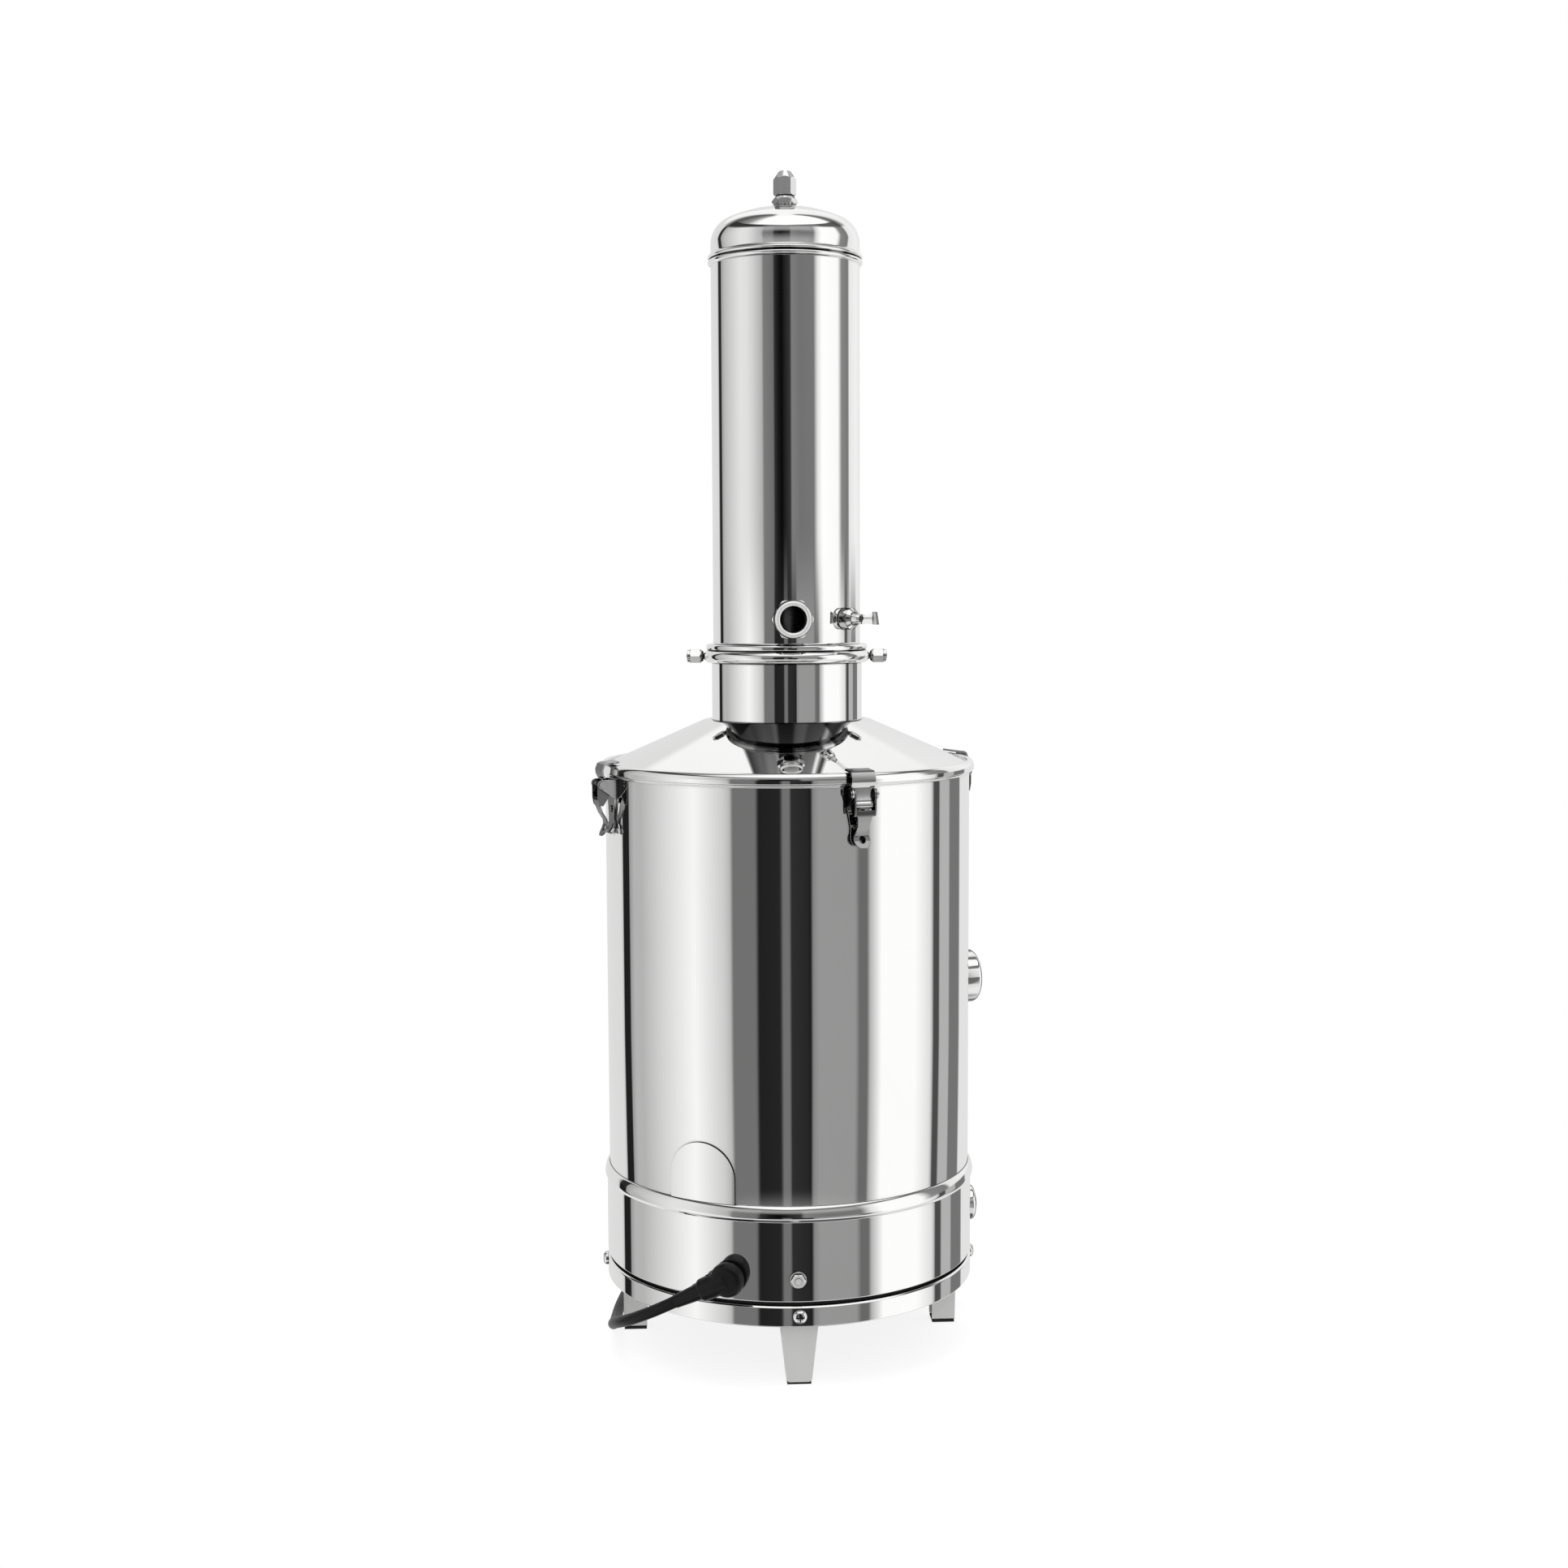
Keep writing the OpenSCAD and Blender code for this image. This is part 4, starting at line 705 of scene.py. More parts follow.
# Reflected studio round the set: azimuth in degrees and brightness as displayed, joined by
# straight lines. The dark stretches are flags and door frames, the pale ones walls and panels.
STUDIO_LEFT = (
    (-180, 0.87), (-130, 0.85), (-127, 0.78), (-126, 0.12), (-118, 0.12), (-117, 0.60),
    (-112, 0.70), (-104, 0.70), (-60, 0.965), (-40, 0.80), (-36, 0.72), (-34, 0.44), (-20, 0.44),
    (-18, 0.125), (-5, 0.14), (-4, 0.26), (-3, 0.44), (0, 0.44),
)
STUDIO_RIGHT = (
    (0, 0.44), (1, 0.44), (2, 0.18), (12, 0.15), (14, 0.10), (15.5, 0.52), (19, 0.585),
    (42, 0.58), (45, 0.41), (50, 0.41), (52, 0.70), (56, 0.85), (60, 0.99), (86, 0.99),
    (100, 0.87), (102.5, 0.70), (103.5, 0.29), (109, 0.29), (110.5, 0.69), (121, 0.69),
    (122.5, 0.45), (137, 0.45), (139, 0.88), (180, 0.87),
)
# The same above eye level
STUDIO_UPPER = (
    (-180, 0.87), (-130, 0.85), (-127, 0.70), (-126, 0.16), (-118, 0.16), (-117, 0.62),
    (-108, 0.73), (-74, 0.885), (-62, 0.875), (-52, 0.82), (-45, 0.76), (-37, 0.69),
    (-34, 0.48), (-19, 0.43), (-17, 0.19), (-12, 0.10), (-6, 0.03), (-1, 0.13), (7, 0.21),
    (9, 0.49), (22, 0.445), (44, 0.46), (50, 0.88), (58, 1.0), (88, 0.98), (96, 0.52),
    (113, 0.47), (116, 0.90), (138, 0.94), (180, 0.87),
)
# The same over the walls, above 35 degrees: white behind, dark in front and to the sides
STUDIO_HIGH = (
    (-180, 0.97), (-142, 0.95), (-128, 0.55), (-117, 0.20), (-40, 0.22), (-26, 0.46), (55, 0.48),
    (66, 0.36), (100, 0.34), (112, 0.28), (124, 0.6), (136, 0.93), (180, 0.97),
)
# The soft box over the front, from 40 degrees up, greyer towards its left end
STUDIO_TOP = (
    (-180, 0.97), (-142, 0.95), (-130, 0.55), (-118, 0.30), (-100, 0.42), (-76, 0.58),
    (-62, 0.85), (-50, 1.0), (92, 1.0), (100, 0.6), (112, 0.3), (124, 0.6), (136, 0.93),
    (180, 0.97),
)
# Painted reflection: brightness by azimuth painted into the column's and the tower's colour for
# glossy rays, so that the cone mirrors the flags overhead
PAINTED_FLAG_STOPS = (
    (-180, 0.3), (-90, 0.22), (-60, 0.42), (-48, 0.62), (-34, 0.60), (-30, 0.38), (-14, 0.38),
    (-10, 0.50), (-7, 0.06), (5, 0.06), (8, 0.42), (15, 0.46), (18, 0.30), (34, 0.30),
    (38, 0.85), (48, 0.88), (51, 0.20), (60, 0.48), (90, 0.40), (180, 0.3),
)


def linear(display):
    """Linear light of a displayed brightness, as seen in steel that reflects 0.945 of it."""
    return (display / 12.92 if display <= 0.04045 else ((display + 0.055) / 1.055) ** 2.4) / 0.945


def azimuth_of(tree, way):
    """Azimuth in degrees of a direction's X and Y sockets, from the front towards +X."""
    back = calc(tree, "MULTIPLY", way["Y"], -1.0)
    return calc(tree, "DEGREES", calc(tree, "ARCTAN2", way["X"], back))


def studio_ramp(tree, turn, stops):
    """Ramp by azimuth of (azimuth, displayed brightness) stops, from the first to the last."""
    low, high = stops[0][0], stops[-1][0]
    made = wire(tree, "ValToRGB", {"Fac": ranged(tree, turn, low, high, kind="LINEAR")})
    points = made.color_ramp.elements
    while len(points) < len(stops):
        points.new(0.5)
    for point, (a, shown) in zip(points, stops):
        point.position = (a - low) / (high - low)
        point.color = (*[linear(shown)] * 3, 1)
    return made.outputs["Color"]


def light_world(studio):
    """White behind the object, the studio in its reflections, and even light on matt faces."""
    world = bpy.data.worlds.new("studio")
    bpy.context.scene.world = world
    world.use_nodes = True
    tree = world.node_tree
    tree.nodes.clear()
    way = wire(tree, "SeparateXYZ", {0: wire(tree, "TexCoord").outputs["Generated"]}).outputs
    turn = azimuth_of(tree, way)
    rise = calc(tree, "DEGREES", calc(tree, "ARCSINE", way["Z"]))
    left, right, upper, high, top = (studio_ramp(tree, turn, stops) for stops in (
        STUDIO_LEFT, STUDIO_RIGHT, STUDIO_UPPER, STUDIO_HIGH, STUDIO_TOP))
    walls = mixed(tree, calc(tree, "GREATER_THAN", turn, 0.0), left, right)
    walls = mixed(tree, ranged(tree, rise, -2, 2), walls, upper)
    # Paler panels in front, between the walls and what is over them
    front = calc(tree, "ABSOLUTE", turn)
    pale = calc(tree, "MULTIPLY", ranged(tree, rise, 10, 26), ranged(tree, front, 60, 35, 0, 0.6))
    pale = mixed(tree, pale, walls, linear(0.74))
    sky = mixed(tree, ranged(tree, rise, 30, 36), pale, high)
    # The soft box starts a little higher towards its sides; the ceiling is white
    wide = calc(tree, "MINIMUM", calc(tree, "MULTIPLY", front, 0.08), 8.0)
    over = calc(tree, "SUBTRACT", rise, calc(tree, "ADD", wide, 38.5))
    sky = mixed(tree, ranged(tree, over, -1, 1), sky, top)
    sky = mixed(tree, ranged(tree, rise, 79, 86), sky, linear(0.98))
    # The table top, pale, and the dark floor under the object
    sky = mixed(tree, ranged(tree, rise, -23, -28, 0.0, 0.8), sky, linear(0.9))
    sky = mixed(tree, ranged(tree, rise, -58, -68, 0.0, 0.9), sky, linear(0.15))
    path = wire(tree, "LightPath").outputs
    shown = mixed(tree, path["Is Glossy Ray"], studio.level, sky)
    clear = calc(tree, "MAXIMUM", path["Is Camera Ray"], path["Is Transmission Ray"])
    shown = mixed(tree, clear, shown, 1.0)
    background = wire(tree, "Background", {"Color": shown, "Strength": 1.0})
    out = tree.nodes.new("ShaderNodeOutputWorld")
    tree.links.new(background.outputs[0], out.inputs["Surface"])


def floor_material():
    """White table top; the camera and reflections see it a little lighter, up to white."""
    made = bpy.data.materials.new("white_table")
    made.use_nodes = True
    tree = made.node_tree
    shader = tree.nodes["Principled BSDF"]
    cloudy = noise(tree, object_point(tree, 40.0, 40.0, 40.0))
    feed(tree, shader, {"Base Color": mixed(tree, cloudy, 0.24, 0.26), "Roughness": 0.9,
                        "Specular IOR Level": 0.0})
    path = wire(tree, "LightPath").outputs
    seen = calc(tree, "MAXIMUM", path["Is Camera Ray"], path["Is Glossy Ray"])
    seen = calc(tree, "MAXIMUM", seen, path["Is Transmission Ray"])
    glow = wire(tree, "Emission", {"Color": (1, 1, 1, 1),
                                   "Strength": ranged(tree, seen, 0, 1, 0.5, 0.86)})
    both = wire(tree, "AddShader", {0: shader.outputs[0], 1: glow.outputs[0]})
    tree.links.new(both.outputs[0], tree.nodes["Material Output"].inputs["Surface"])
    return made


class DISTILLER_OT_studio(bpy.types.Operator):
    """Set up the camera, the white table, the light and the reflected studio"""
    bl_idname = "distiller.studio"
    bl_label = "Studio"

    def execute(self, context):
        studio = context.scene.distiller_studio
        camera = linked("camera", bpy.data.cameras.new("camera"))
        camera.data.lens = studio.lens
        camera.data.sensor_width = 36
        camera.matrix_world = (Matrix.Translation(studio.camera)
                               @ Matrix.Rotation(pi / 2 - studio.pitch, 4, "X")
                               @ Matrix.Rotation(studio.roll, 4, "Z"))
        context.scene.camera = camera
        context.scene.view_settings.view_transform = "Standard"
        light_world(studio)
        disc = np.array([[0.0, 0.0], [0.3, 0.0], [0.7, 0.0], [1.0, 0.0], [1.0, -0.02],
                         [0.0, -0.02]]) * studio.floor_r / MM
        table = linked("table", mesh_of(*ring_part(disc, 96)))
        table.data.materials.append(floor_material())
        lamp = linked("soft_lamp", bpy.data.lights.new("soft_lamp", "AREA"))
        lamp.data.energy, lamp.data.shape, lamp.data.size = studio.lamp, "DISK", 1.4
        lamp.location = (-0.25, -0.35, 1.9)
        lamp.rotation_euler = (radians(-10), radians(-8), 0)
        table.visible_glossy = lamp.visible_glossy = False
        return {"FINISHED"}


# Mains lead

LEAD_ROUTE = (
    (-58.4, -116.3, 60.3), (-66.9, -113.7, 55.8), (-75.4, -111.1, 51.2), (-84.2, -107.6, 46.2),
    (-92.6, -102.8, 41.4), (-100, -96, 36.6), (-105.8, -87, 32.2), (-109.8, -76.5, 27.8),
    (-112.4, -65, 23.2), (-114, -53, 18.6), (-115.2, -41, 14), (-116, -29, 9.8),
    (-116.4, -16, 6.4), (-116.6, -2, 4.4), (-116.4, 13, 3.7), (-115.6, 28, 3.7),
    (-114.2, 44, 3.7), (-112.4, 60, 3.7), (-110.4, 77, 3.7), (-108.2, 94, 3.7),
    (-105.6, 111, 3.7), (-102, 128, 3.7), (-97, 145, 3.7), (-90, 162, 3.7), (-81, 179, 3.7),
    (-70, 196, 3.7), (-59, 211.5, 3.7), (-46, 226, 3.7), (-31.5, 237, 3.9), (-16, 244, 4.6),
)
COIL = SimpleNamespace(centre=(0.0, 195.0), z=4.6, out=49.0, loops=4, pitch=8.0, tail=22.0)
INLET_AZ, INLET_Z, LEAD_SLOPE, NECK_OUT = -17.2, 71.2, 27.0, 6.4
# Radius of the points that close a moulding at its axis
AXIS = 0.01


def lead_path():
    """Route of the lead: a spline through the points, then the coil's loops, in millimetres.

    In the coil the radius falls by one pitch a loop to the middle and grows back, and the height
    climbs one layer by half a cosine wave at mid-way."""
    t = np.linspace(0, COIL.loops, 48 * COIL.loops + 1)
    r = COIL.out - COIL.pitch * np.minimum(t, COIL.loops - t)
    a = np.radians(90 - 360 * t)
    climb = 0.5 - 0.5 * np.cos(pi * np.clip((t - COIL.loops / 2 + 0.25) / 0.5, 0, 1))
    coil = np.column_stack([COIL.centre[0] + r * np.cos(a), COIL.centre[1] + r * np.sin(a),
                            COIL.z + COIL.pitch * climb])
    y = COIL.centre[1] + COIL.out
    end = [[8, y, COIL.z + COIL.pitch], [COIL.tail, y, COIL.z + COIL.pitch]]
    free = spline([*LEAD_ROUTE, (-8, y, COIL.z)], 4)
    return np.concatenate([free, coil, end])


def swept(path, outline):
    """Tube along a path: at each point the outline (across, up) lies square to the path.

    Across is level, along the cross product of the path's direction and +Z."""
    p = np.asarray(path, float)
    way = np.gradient(p, axis=0)
    way /= np.linalg.norm(way, axis=1)[:, None]
    across = np.cross(way, [0, 0, 1])
    across /= np.linalg.norm(across, axis=1)[:, None]
    up = np.cross(across, way)
    return p[:, None] + outline[:, :1] * across[:, None] + outline[:, 1:] * up[:, None]


def capped(grid):
    """(points, faces) of a swept grid with a fan of triangles on either end."""
    rows, columns = grid.shape[:2]
    ends = np.array([grid[0].mean(0), grid[-1].mean(0)])
    k = np.arange(columns)
    first = np.column_stack([np.full(columns, rows * columns), k, (k + 1) % columns])
    last = np.column_stack([np.full(columns, rows * columns + 1), k, (k + 1) % columns])
    last[:, 1:] += (rows - 1) * columns
    return (np.concatenate([grid.reshape(-1, 3), ends]),
            [quads(rows, columns, False, True), first, last])


def along_lead(points):
    """Points drawn along +Z from the connector's axis, laid along the lead's first stretch."""
    s = sizes()
    x, y, z = np.moveaxis(np.asarray(points, float), -1, 0)
    a = radians(-90 - LEAD_SLOPE)
    turned = np.stack([x * cos(a) + z * sin(a), y, -x * sin(a) + z * cos(a)], -1)
    return at_az(turned + [0, -(s.head_r + NECK_OUT), INLET_Z], INLET_AZ)


def fused(piece, voxel, rounds):
    """Melts a piece's overlapping solids into one moulded skin: voxel remesh, then smoothing."""
    melt = piece.modifiers.new("melt", "REMESH")
    melt.mode, melt.voxel_size = "VOXEL", voxel * MM
    soft = piece.modifiers.new("soften", "SMOOTH")
    soft.factor, soft.iterations = 0.5, rounds
    old, piece.data = piece.data, bpy.data.meshes.new_from_object(
        piece.evaluated_get(bpy.context.evaluated_depsgraph_get()))
    piece.modifiers.clear()
    bpy.data.meshes.remove(old)
    shade(piece.data, 40)


class DISTILLER_OT_lead(bpy.types.Operator):
    """Build the mains lead with its connector, strain relief, coil, tie and plug"""
    bl_idname = "distiller.lead"
    bl_label = "Mains lead"

    def execute(self, context):
        s = sizes()
        path = lead_path()
        points, faces = capped(swept(path, arc((0, 0), s.cord_d / 2, 0, 360, 16)[:-1]))
        lead = put("mains_lead", mesh_of(points, faces, weld=0.0002), "lead_sheath", "base",
                   "cord_black", "cord", "cord_coil")

        # Connector: a round head and a neck melted into one, and a pointed mark on the neck
        head = eased([[AXIS, 0], [7.6, 0], [8.4, 0.8], [10.8, 6.4], [10.8, 9.2], [9.6, 11.6],
                      [7.4, 12.4], [AXIS, 12.7]], 1.0)
        neck = eased([[AXIS, 0], [7.4, 0], [7.5, 8], [7.1, 18.4], [6.4, 19.2], [AXIS, 19.2]], 0.8)
        mark = along_lead([[(depth, x, z) for x, z in ((-1.5, 9.2), (1.5, 9.2), (0, 12.4))]
                           for depth in (6.4, 7.7)])
        prism = mesh_of(mark, [np.array([[0, 1, 2], [5, 4, 3]]), quads(2, 3, False, True)])
        plug_in = joined([
            ring_part(head, 64, lambda p: facing_out(p, INLET_AZ, s.head_r, INLET_Z)),
            ring_part(neck, 48, along_lead)])
        connector = put("connector_moulding", plug_in, "moulded_plastic", "base", "black_plastic",
                        "connector")
        fused(connector, 0.35, 6)
        arrow = put("connector_mark", prism, "moulded_plastic", "base", "black_plastic")

        # Strain relief, tapering along the lead
        start, end = 12.0, 38.0
        z = np.linspace(start, end, 120)
        skin = np.column_stack([5.3 - 1.15 * np.clip((z - 19.0) / 18.0, 0, 1), z])
        bore = np.array([[s.cord_d / 2 + s.fit, end + 0.3], [AXIS, end + 0.3], [AXIS, start]])
        boot = ring_part(np.concatenate([skin, bore]), 48, along_lead)
        boot = put("strain_relief", mesh_of(*boot), "moulded_plastic", "base", "black_plastic",
                   "cord_boot")

        # Tie: a band round the loops on the coil's left side, half its width to either side of y
        y, under, thick, half = COIL.centre[1], 0.8, 0.7, 4.5
        low, high = COIL.out - COIL.pitch * 1.75, COIL.out - COIL.pitch * 0.25
        inner, outer = low - s.cord_d / 2 - 0.5, high + s.cord_d / 2 + 0.5
        top = COIL.z + COIL.pitch + s.cord_d / 2 + 0.3
        band = eased([[-outer, under], [-inner, under], [-inner, top], [-outer, top]], 3.0, 9)
        way = np.roll(band, -1, 0) - np.roll(band, 1, 0)
        way /= np.linalg.norm(way, axis=1)[:, None]
        out = np.column_stack([way[:, 1], -way[:, 0]])
        rows = [(0.0, -half), (thick, 0.2 - half), (thick, 0.0), (thick, half - 0.2),
                (0.0, half), (0.0, 0.0)]
        tie_grid = [np.insert(band + out * h, 1, y + w, axis=1) for h, w in rows]
        cells = quads(len(rows), len(band), True, True)
        tie = put("coil_tie_woven", mesh_of(tie_grid, cells, smooth=50), "woven_tie", "base",
                  "tie_fabric", "coil_tie")

        dress("moulded_plastic", "plug", "inlet_socket")
        return {"FINISHED"}


class DISTILLER_OT_base(bpy.types.Operator):
    """Build the base: ring, band with its flared lip, legs, screws and earth terminal"""
    bl_idname = "distiller.base"
    bl_label = "Base and legs"

    def execute(self, context):
        s = sizes()
        ring = [[s.ring_r - s.sheet, s.leg_h + 0.4], [s.ring_r - 0.6, s.leg_h],
                [s.ring_r, s.leg_h + 0.5], [s.ring_r, s.ring_top - 1], [s.ring_r - 1, s.ring_top],
                [s.pan_r + s.fit, s.ring_top], [s.pan_r + s.fit, s.ring_top - s.sheet],
                [s.ring_r - s.sheet, s.ring_top - s.sheet]]
        shell("base_ring_skirt", ring, "base", "base_ring", round_off=0.3)
        lip = spline([*near(s.band_r, s.band_top, [(0, -9.6), (0.5, -8.8)]),
                      *near(s.lip_r, s.band_top, [(-0.2, -7.9), (0, -7), (-0.15, -5.8),
                                                  (-0.9, -3)]),
                      *near(s.body_r, s.band_top, [(1, -0.6), (0.3, -0.05)])], 4)
        ledge_r = s.body_r - 8
        band = np.concatenate([
            [[s.pan_r + s.fit, s.band_low], [s.band_r - 0.6, s.band_low],
             [s.band_r, s.band_low + 0.6]], lip,
            [[s.body_r + s.fit, s.band_top], [s.body_r + s.fit, s.floor_z - s.fit],
             [ledge_r, s.floor_z - s.fit], [ledge_r, s.floor_z - s.sheet - s.fit],
             [s.band_r - s.sheet, s.floor_z - s.sheet - s.fit],
             [s.band_r - s.sheet, s.band_low + s.sheet],
             [s.pan_r + s.fit, s.band_low + s.sheet]]])
        shell("base_band_skirt", band, "base", "base_band", round_off=0.3)
        dress("mill_leg", "leg_front", "leg_right", "leg_back", "leg_left")
        # The base pan, a steel plate, is given black rubber as painted shade in the groove under
        # the band
        dress("black_rubber", "foot_pads", "base_pan")
        dress("polished_fitting", "leg_screws")
        dress("satin_fitting", "earth_terminal")
        return {"FINISHED"}


class DISTILLER_OT_boiler(bpy.types.Operator):
    """Build the boiler shell with its rolled rim and the arched cover plate"""
    bl_idname = "distiller.boiler"
    bl_label = "Boiler"

    def execute(self, context):
        s = sizes()
        # Radii of the floor's corner outside and inside, and of the rim's roll
        knee, inside, roll = 4, 3.8, 1
        outline = np.concatenate([
            [[0.0, s.floor_z]], arc((s.body_r - knee, s.floor_z + knee), knee, -90, 0, 6),
            [[s.body_r, s.rim_low - 0.6]],
            arc((s.rim_r - roll, s.rim_low + roll), roll, -80, 0, 6),
            arc((s.rim_r - roll, s.rim_top - roll), roll, 0, 90, 6),
            [[s.inner_r, s.rim_top]],
            arc((s.inner_r - inside, s.floor_z + s.sheet + inside), inside, 0, -90, 6),
            [[0.0, s.floor_z + s.sheet]]])
        shell("boiler_wall", outline, "base", "boiler_shell",
              levels=np.arange(s.sight_z - 17.0, s.sight_z + 18.0, 1.6),
              holes=[(s.sight_az, s.sight_z, s.sight_hole)])
        self.cover(s)
        dress("inner_wall", "heating_element", "temperature_probe", "sight_nut")
        dress("brass_fitting", "element_nuts")
        dress("black_rubber", "thermal_cutout")
        return {"FINISHED"}

    def cover(self, s):
        """Plate on the wall: rows at height v, as wide as the arch is there, bent to the wall."""
        # Half the width, the height and how far the plate stands out of the wall
        half, up, thick = 22.3, 37.0, 1.1
        v = np.concatenate([np.linspace(0.05, up - half, 12),
                            up - half + half * np.sin(np.radians(np.linspace(2, 90, 34)))])
        wide = np.where(v > up - half, np.sqrt(np.maximum(half ** 2 - (v - up + half) ** 2, 0)),
                        half)
        u = np.linspace(-1, 1, 41)
        turn = np.outer(wide, u) / s.body_r
        z = np.tile((s.band_top + v)[:, None], len(u))
        n, m = turn.shape
        points = at_az([np.stack([rho * np.sin(turn), -rho * np.cos(turn), z], -1)
                        for rho in (s.body_r + s.fit, s.body_r + thick)], s.cover_az)
        cells = quads(n, m)
        k = np.arange(n * m).reshape(n, m)
        rim = np.concatenate([k[0], k[1:, -1], k[-1, -2::-1], k[-2:0:-1, 0]])
        walls = np.column_stack([rim, np.roll(rim, -1), np.roll(rim, -1) + n * m, rim + n * m])
        mesh = mesh_of(points, [cells, cells + n * m, walls])
        plate = put("arch_plate", mesh, "polished_shell", "base", "polished_steel", "arch_cover")
        # The plate's edge faces go dark: a sheared edge, darkened as painted shade for a shadow
        # line
        mesh.materials.append(material("sheared_edge"))
        normals = np.empty(len(mesh.polygons) * 3)
        mesh.polygons.foreach_get("normal", normals)
        out = at_az([0.0, -1.0, 0.0], s.cover_az)
        across = np.abs(normals.reshape(-1, 3) @ out) < 0.7
        mesh.polygons.foreach_set("material_index", across.astype(np.int32))
        bevel = plate.modifiers.new("edge", "BEVEL")
        bevel.width, bevel.segments, bevel.limit_method = 0.0005, 3, "ANGLE"
        bevel.angle_limit, bevel.harden_normals = radians(50), True


class DISTILLER_OT_controls(bpy.types.Operator):
    """Finish the power button, the sight glass and their bezels"""
    bl_idname = "distiller.controls"
    bl_label = "Button and sight glass"

    def execute(self, context):
        dress("polished_fitting", "button_bezel", "sight_bezel")
        dress("satin_fitting", "power_button")
        dress("black_rubber", "sight_gasket")
        dress("clear_glass", "sight_glass")
        return {"FINISHED"}


class DISTILLER_OT_latches(bpy.types.Operator):
    """Finish the four toggle latches: base plates, levers, claws, pins and rivets"""
    bl_idname = "distiller.latches"
    bl_label = "Toggle latches"

    def execute(self, context):
        for k in range(1, 5):
            dress("pressed_latch", f"latch_base_{k}", f"latch_claw_{k}")
            # The levers take the darker copy of pressed steel as painted shade
            dress("shaded_latch", f"latch_lever_{k}")
        dress("polished_fitting", "latch_pins", "latch_rivets")
        return {"FINISHED"}


class DISTILLER_OT_lid(bpy.types.Operator):
    """Build the conical lid with its rolled bead, the seal and the lower column"""
    bl_idname = "distiller.lid"
    bl_label = "Lid and column"

    def execute(self, context):
        s = sizes()
        wide, high = 3.3, 4.4
        bead = arc((0, 0), 1, 0, 112, 20) * [wide, high] + [s.bead_r - wide, s.bead_top - high]
        root = spline([bead[-1], [s.foot_r + 0.9, s.foot_z + 0.25], [s.foot_r, s.foot_z],
                       [s.foot_r - 1.6, s.foot_z + 1.6 * tan(s.cone_slope)]], 4)[1:]
        outline = np.concatenate([
            [[s.rim_r + s.gap, s.skirt_low], [s.bead_r - 0.3, s.skirt_low],
             [s.bead_r, s.skirt_low + 0.4]], bead, root,
            [[s.neck_r + 0.4, s.neck_z - 0.2], [s.neck_r - 0.4, s.neck_z],
             [s.column_r + s.fit, s.neck_z], [s.column_r + s.fit, s.neck_z - s.sheet],
             [s.neck_r, s.neck_z - s.sheet], [s.foot_r - 0.4, s.foot_z - s.sheet],
             [s.rim_r - 4, s.seal_top], [s.rim_r - 1.2, s.seal_top],
             [s.rim_r + s.gap, s.seal_top - 1.4]]])
        shell("lid_cone_spun", outline, "lid", "lid_cone", "spun_cone", round_off=0.3)
        tube = [[s.column_r - s.tower_t, s.neck_z - 4], [s.column_r, s.neck_z - 4],
                [s.column_r, s.clamp_top], [s.column_r - s.tower_t, s.clamp_top]]
        shell("lower_column_tube", tube, "lid", "lower_column", "polished_tower")
        dress("white_silicone", "lid_gasket")
        dress("inner_wall", "steam_baffle")
        return {"FINISHED"}


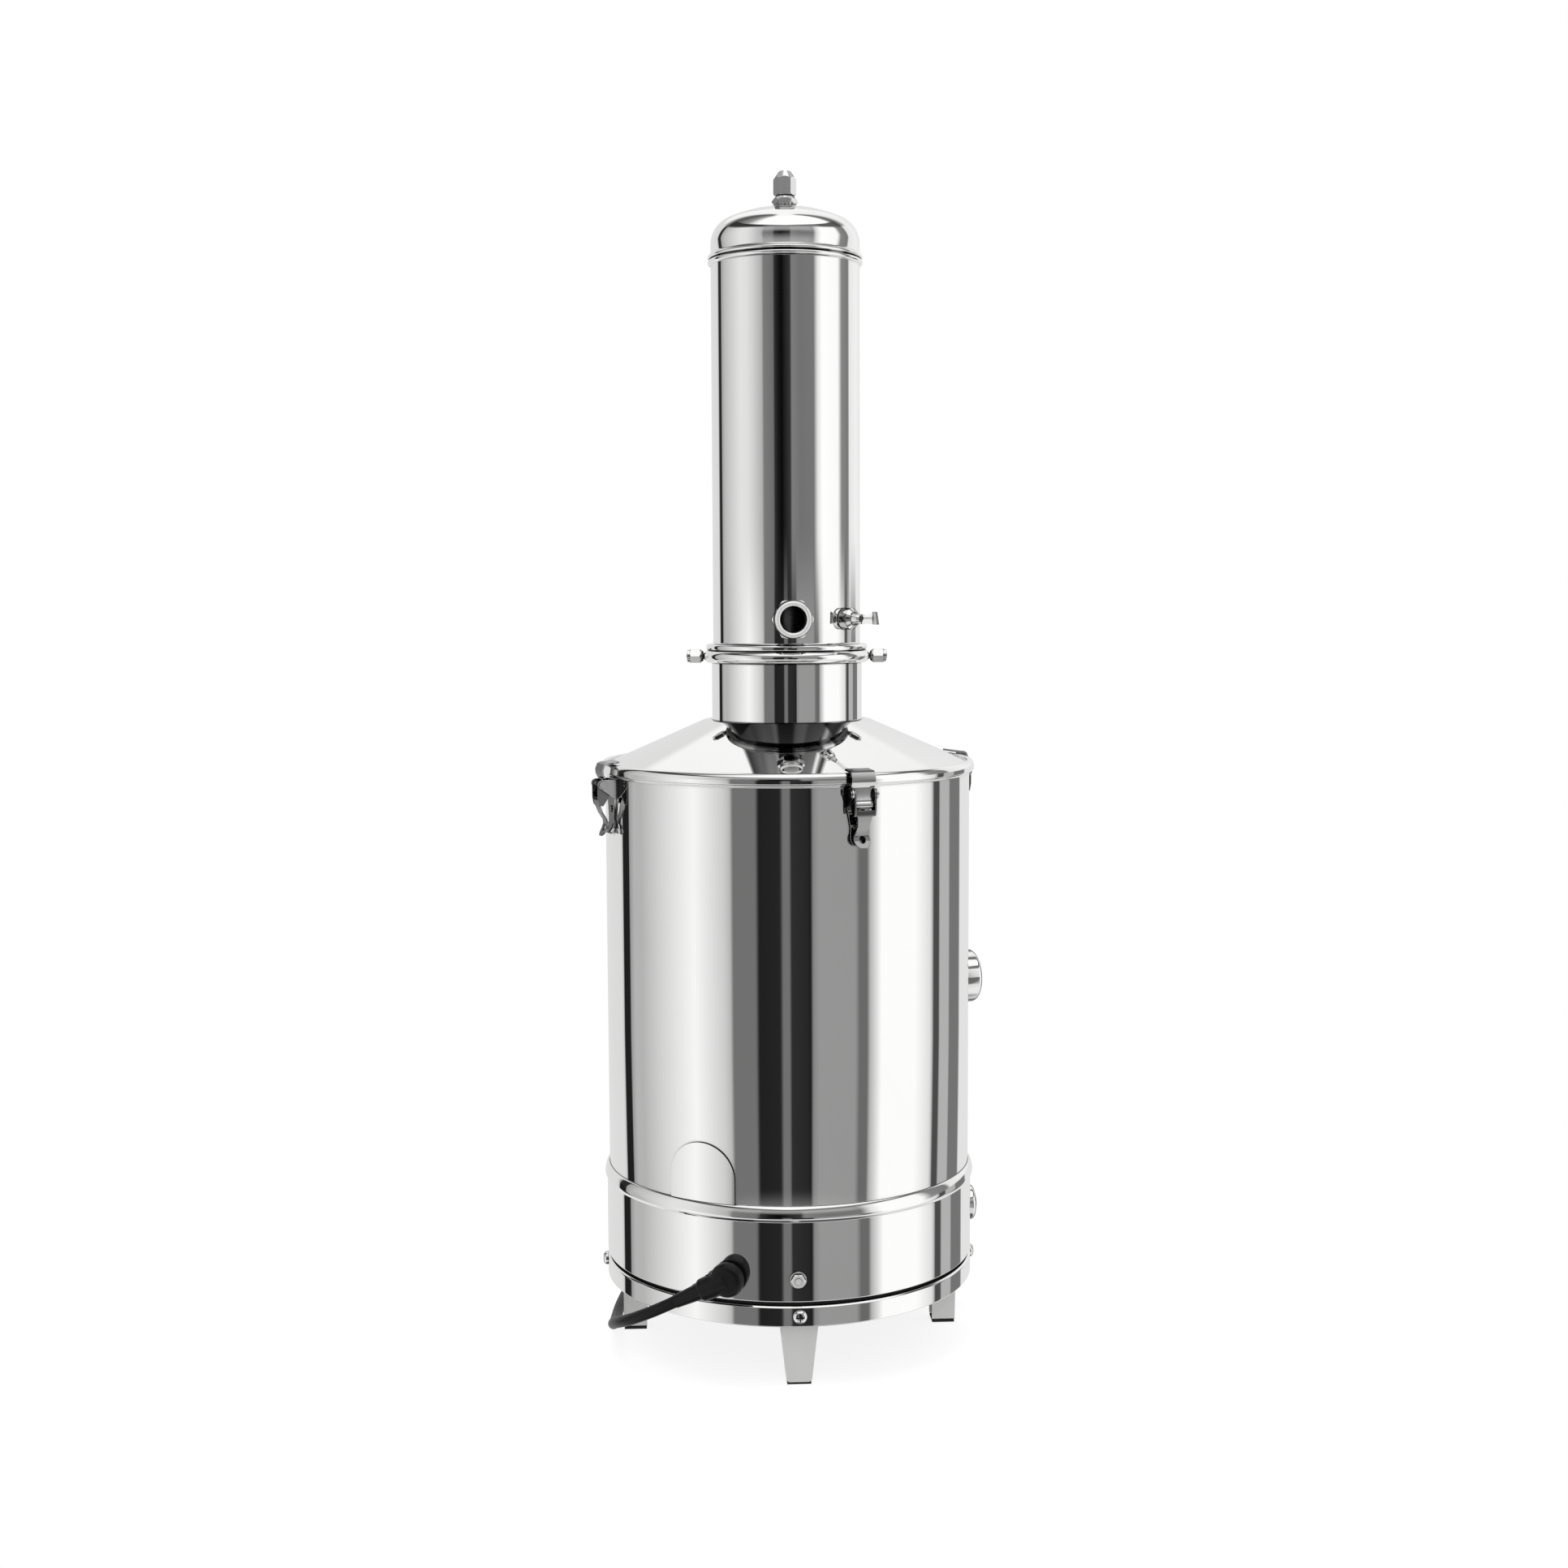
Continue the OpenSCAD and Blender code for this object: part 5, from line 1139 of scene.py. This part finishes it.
class DISTILLER_OT_tower(bpy.types.Operator):
    """Build the clamp ring, the tower shell, the dome and the vent"""
    bl_idname = "distiller.tower"
    bl_label = "Tower and dome"

    def execute(self, context):
        s = sizes()
        half = s.clamp_h / 2
        ring = np.concatenate([[[s.column_r + s.fit, s.clamp_low]],
                               arc((s.clamp_r - half, s.clamp_low + half), half, -80, 88, 24),
                               [[s.column_r + s.fit, s.clamp_top]]])
        shell("clamp_ring_turned", ring, "lid", "clamp_ring", "polished_tower")
        c, t = s.clamp_top, s.tower_top
        foot = spline([*near(s.column_r, c, [(3, 0), (3.4, 0.6), (3.5, 1.7), (3.4, 2.7),
                                             (2.8, 3.5), (1.2, 3.8)]),
                       *near(s.tower_r, c, [(0.5, 4), (0, 4.6)])], 4)
        bead = spline(near(s.tower_r, t, [(0, -6.4), (0.5, -6.1), (1.4, -5.6), (1.9, -4.8),
                                          (1.8, -3.8), (1.2, -3.1), (0.3, -2.6)]), 4)
        wall = np.concatenate([
            [[s.spigot_r, s.clamp_low - 6], [s.spigot_r, c]], foot, bead,
            [[s.tower_r + 0.3, t], [s.tower_r - s.tower_t, t], [s.tower_r - s.tower_t, c + 1],
             [s.spigot_r - s.tower_t, c], [s.spigot_r - s.tower_t, s.clamp_low - 6]]])
        shell("tower_wall", wall, "lid", "tower_shell", "polished_tower", round_off=0.25,
              levels=np.arange(c + 8.0, c + 33.0, 0.9),
              holes=[(s.port_az, s.port_z, s.port_hole), (s.petcock_az, s.port_z, s.petcock_hole)])
        k = degrees(asin((s.tower_r - s.knuckle_r) / (s.crown_r - s.knuckle_r)))
        knuckle, crown = (s.tower_r - s.knuckle_r, s.tangent_z), (0, s.crown_z - s.crown_r)
        vent_r = 4.05
        vent = degrees(asin(vent_r / s.crown_r))
        dome = np.concatenate([
            near(s.tower_r, t, [(0.35, 0.05), (0.35, -2.3)]),
            spline(near(s.tower_r, t, [(1.2, -2.3), (1.9, -1.6), (1.8, -0.6), (1.1, 0.2),
                                       (0.3, 0.6), (0, 1.4)]), 4),
            arc(knuckle, s.knuckle_r, 0, 90 - k, 30), arc(crown, s.crown_r, 90 - k, 90 - vent, 24),
            arc(crown, s.crown_r - s.tower_t, 90 - vent, 90 - k, 12),
            arc(knuckle, s.knuckle_r - s.tower_t, 90 - k, 0, 12),
            [[s.tower_r - s.tower_t, t + 0.05]]])
        shell("tower_dome_spun", dome, "lid", "tower_dome", "polished_tower", round_off=0.2)
        dress("polished_fitting", "clamp_screws")
        dress("tumbled_fitting", "vent_nut", "vent_cap")
        dress("inner_wall", "collector_tray", "condenser_core")
        return {"FINISHED"}


class DISTILLER_OT_fittings(bpy.types.Operator):
    """Finish the water port, its lock nut and the petcock with its fish-tail key"""
    bl_idname = "distiller.fittings"
    bl_label = "Port and petcock"

    def execute(self, context):
        s = sizes()
        steps, bore, point, across_flats = 180, 9.35, 13.5, 23.6
        place = lambda rho: (lambda p: facing_out(p, s.port_az, rho, s.port_z))
        nut = eased([[bore, 2.9], [10.8, 2.9], [10.8, 5.6], [12.6, 5.6], [point, 6.5],
                     [point, 11.8], [12.4, 12.6], [bore, 12.6]], 0.6)
        grid = revolved(nut, steps)
        turn = 2 * pi * np.arange(steps) / steps
        flat = across_flats / 2 / np.cos((turn + pi / 6) % (pi / 3) - pi / 6)
        # The hexagon cuts the turned nut wherever that reaches past its flats
        rho = np.hypot(grid[..., 0], grid[..., 1])
        grid[..., :2] *= (np.minimum(rho, flat[:, None]) / rho)[..., None]
        mesh = mesh_of(place(s.tower_r - 4)(grid), quads(steps, len(nut), True, True), smooth=24)
        put("port_nut_milled", mesh, "polished_fitting", "lid", "polished_steel", "port_nut")
        tube = np.concatenate([[[8.2, 0], [9.3, 0], [9.3, 12.1], [10.2, 12.1], [10.9, 13.0]],
                               arc((10.0, 18.0), 1.75, -40, 180, 24)])
        put("port_nozzle_turned", mesh_of(*ring_part(tube, 96, place(s.tower_r - 5))),
            "satin_fitting", "lid", "polished_steel", "port_nozzle")
        dress("polished_fitting", "petcock_body", "petcock_key")
        return {"FINISHED"}


OPERATORS = (DISTILLER_OT_studio, DISTILLER_OT_lead, DISTILLER_OT_base, DISTILLER_OT_boiler,
             DISTILLER_OT_controls, DISTILLER_OT_latches, DISTILLER_OT_lid, DISTILLER_OT_tower,
             DISTILLER_OT_fittings)


class DISTILLER_PT_panel(bpy.types.Panel):
    """Lists the sizes, finishes and pieces of the distiller"""
    bl_idname = "DISTILLER_PT_panel"
    bl_label = "Water distiller"
    bl_space_type = "VIEW_3D"
    bl_region_type = "UI"
    bl_category = "Distiller"

    def draw(self, context):
        for group in GROUPS:
            box = self.layout.box()
            settings = getattr(context.scene, group)
            for key in type(settings).__annotations__:
                box.prop(settings, key)
        for operator in OPERATORS:
            self.layout.operator(operator.bl_idname)


GROUPS = {"distiller_sizes": DistillerSizes, "distiller_finish": DistillerFinish,
          "distiller_studio": DistillerStudio}
CLASSES = (*GROUPS.values(), *OPERATORS, DISTILLER_PT_panel)


def register():
    for cls in CLASSES:
        bpy.utils.register_class(cls)
    for name, cls in GROUPS.items():
        setattr(bpy.types.Scene, name, PointerProperty(type=cls))


def unregister():
    for name in GROUPS:
        delattr(bpy.types.Scene, name)
    for cls in reversed(CLASSES):
        bpy.utils.unregister_class(cls)


def main():
    """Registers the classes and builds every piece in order."""
    register()
    for operator in OPERATORS:
        group, name = operator.bl_idname.split(".")
        getattr(getattr(bpy.ops, group), name)()


if __name__ == "__main__":
    main()
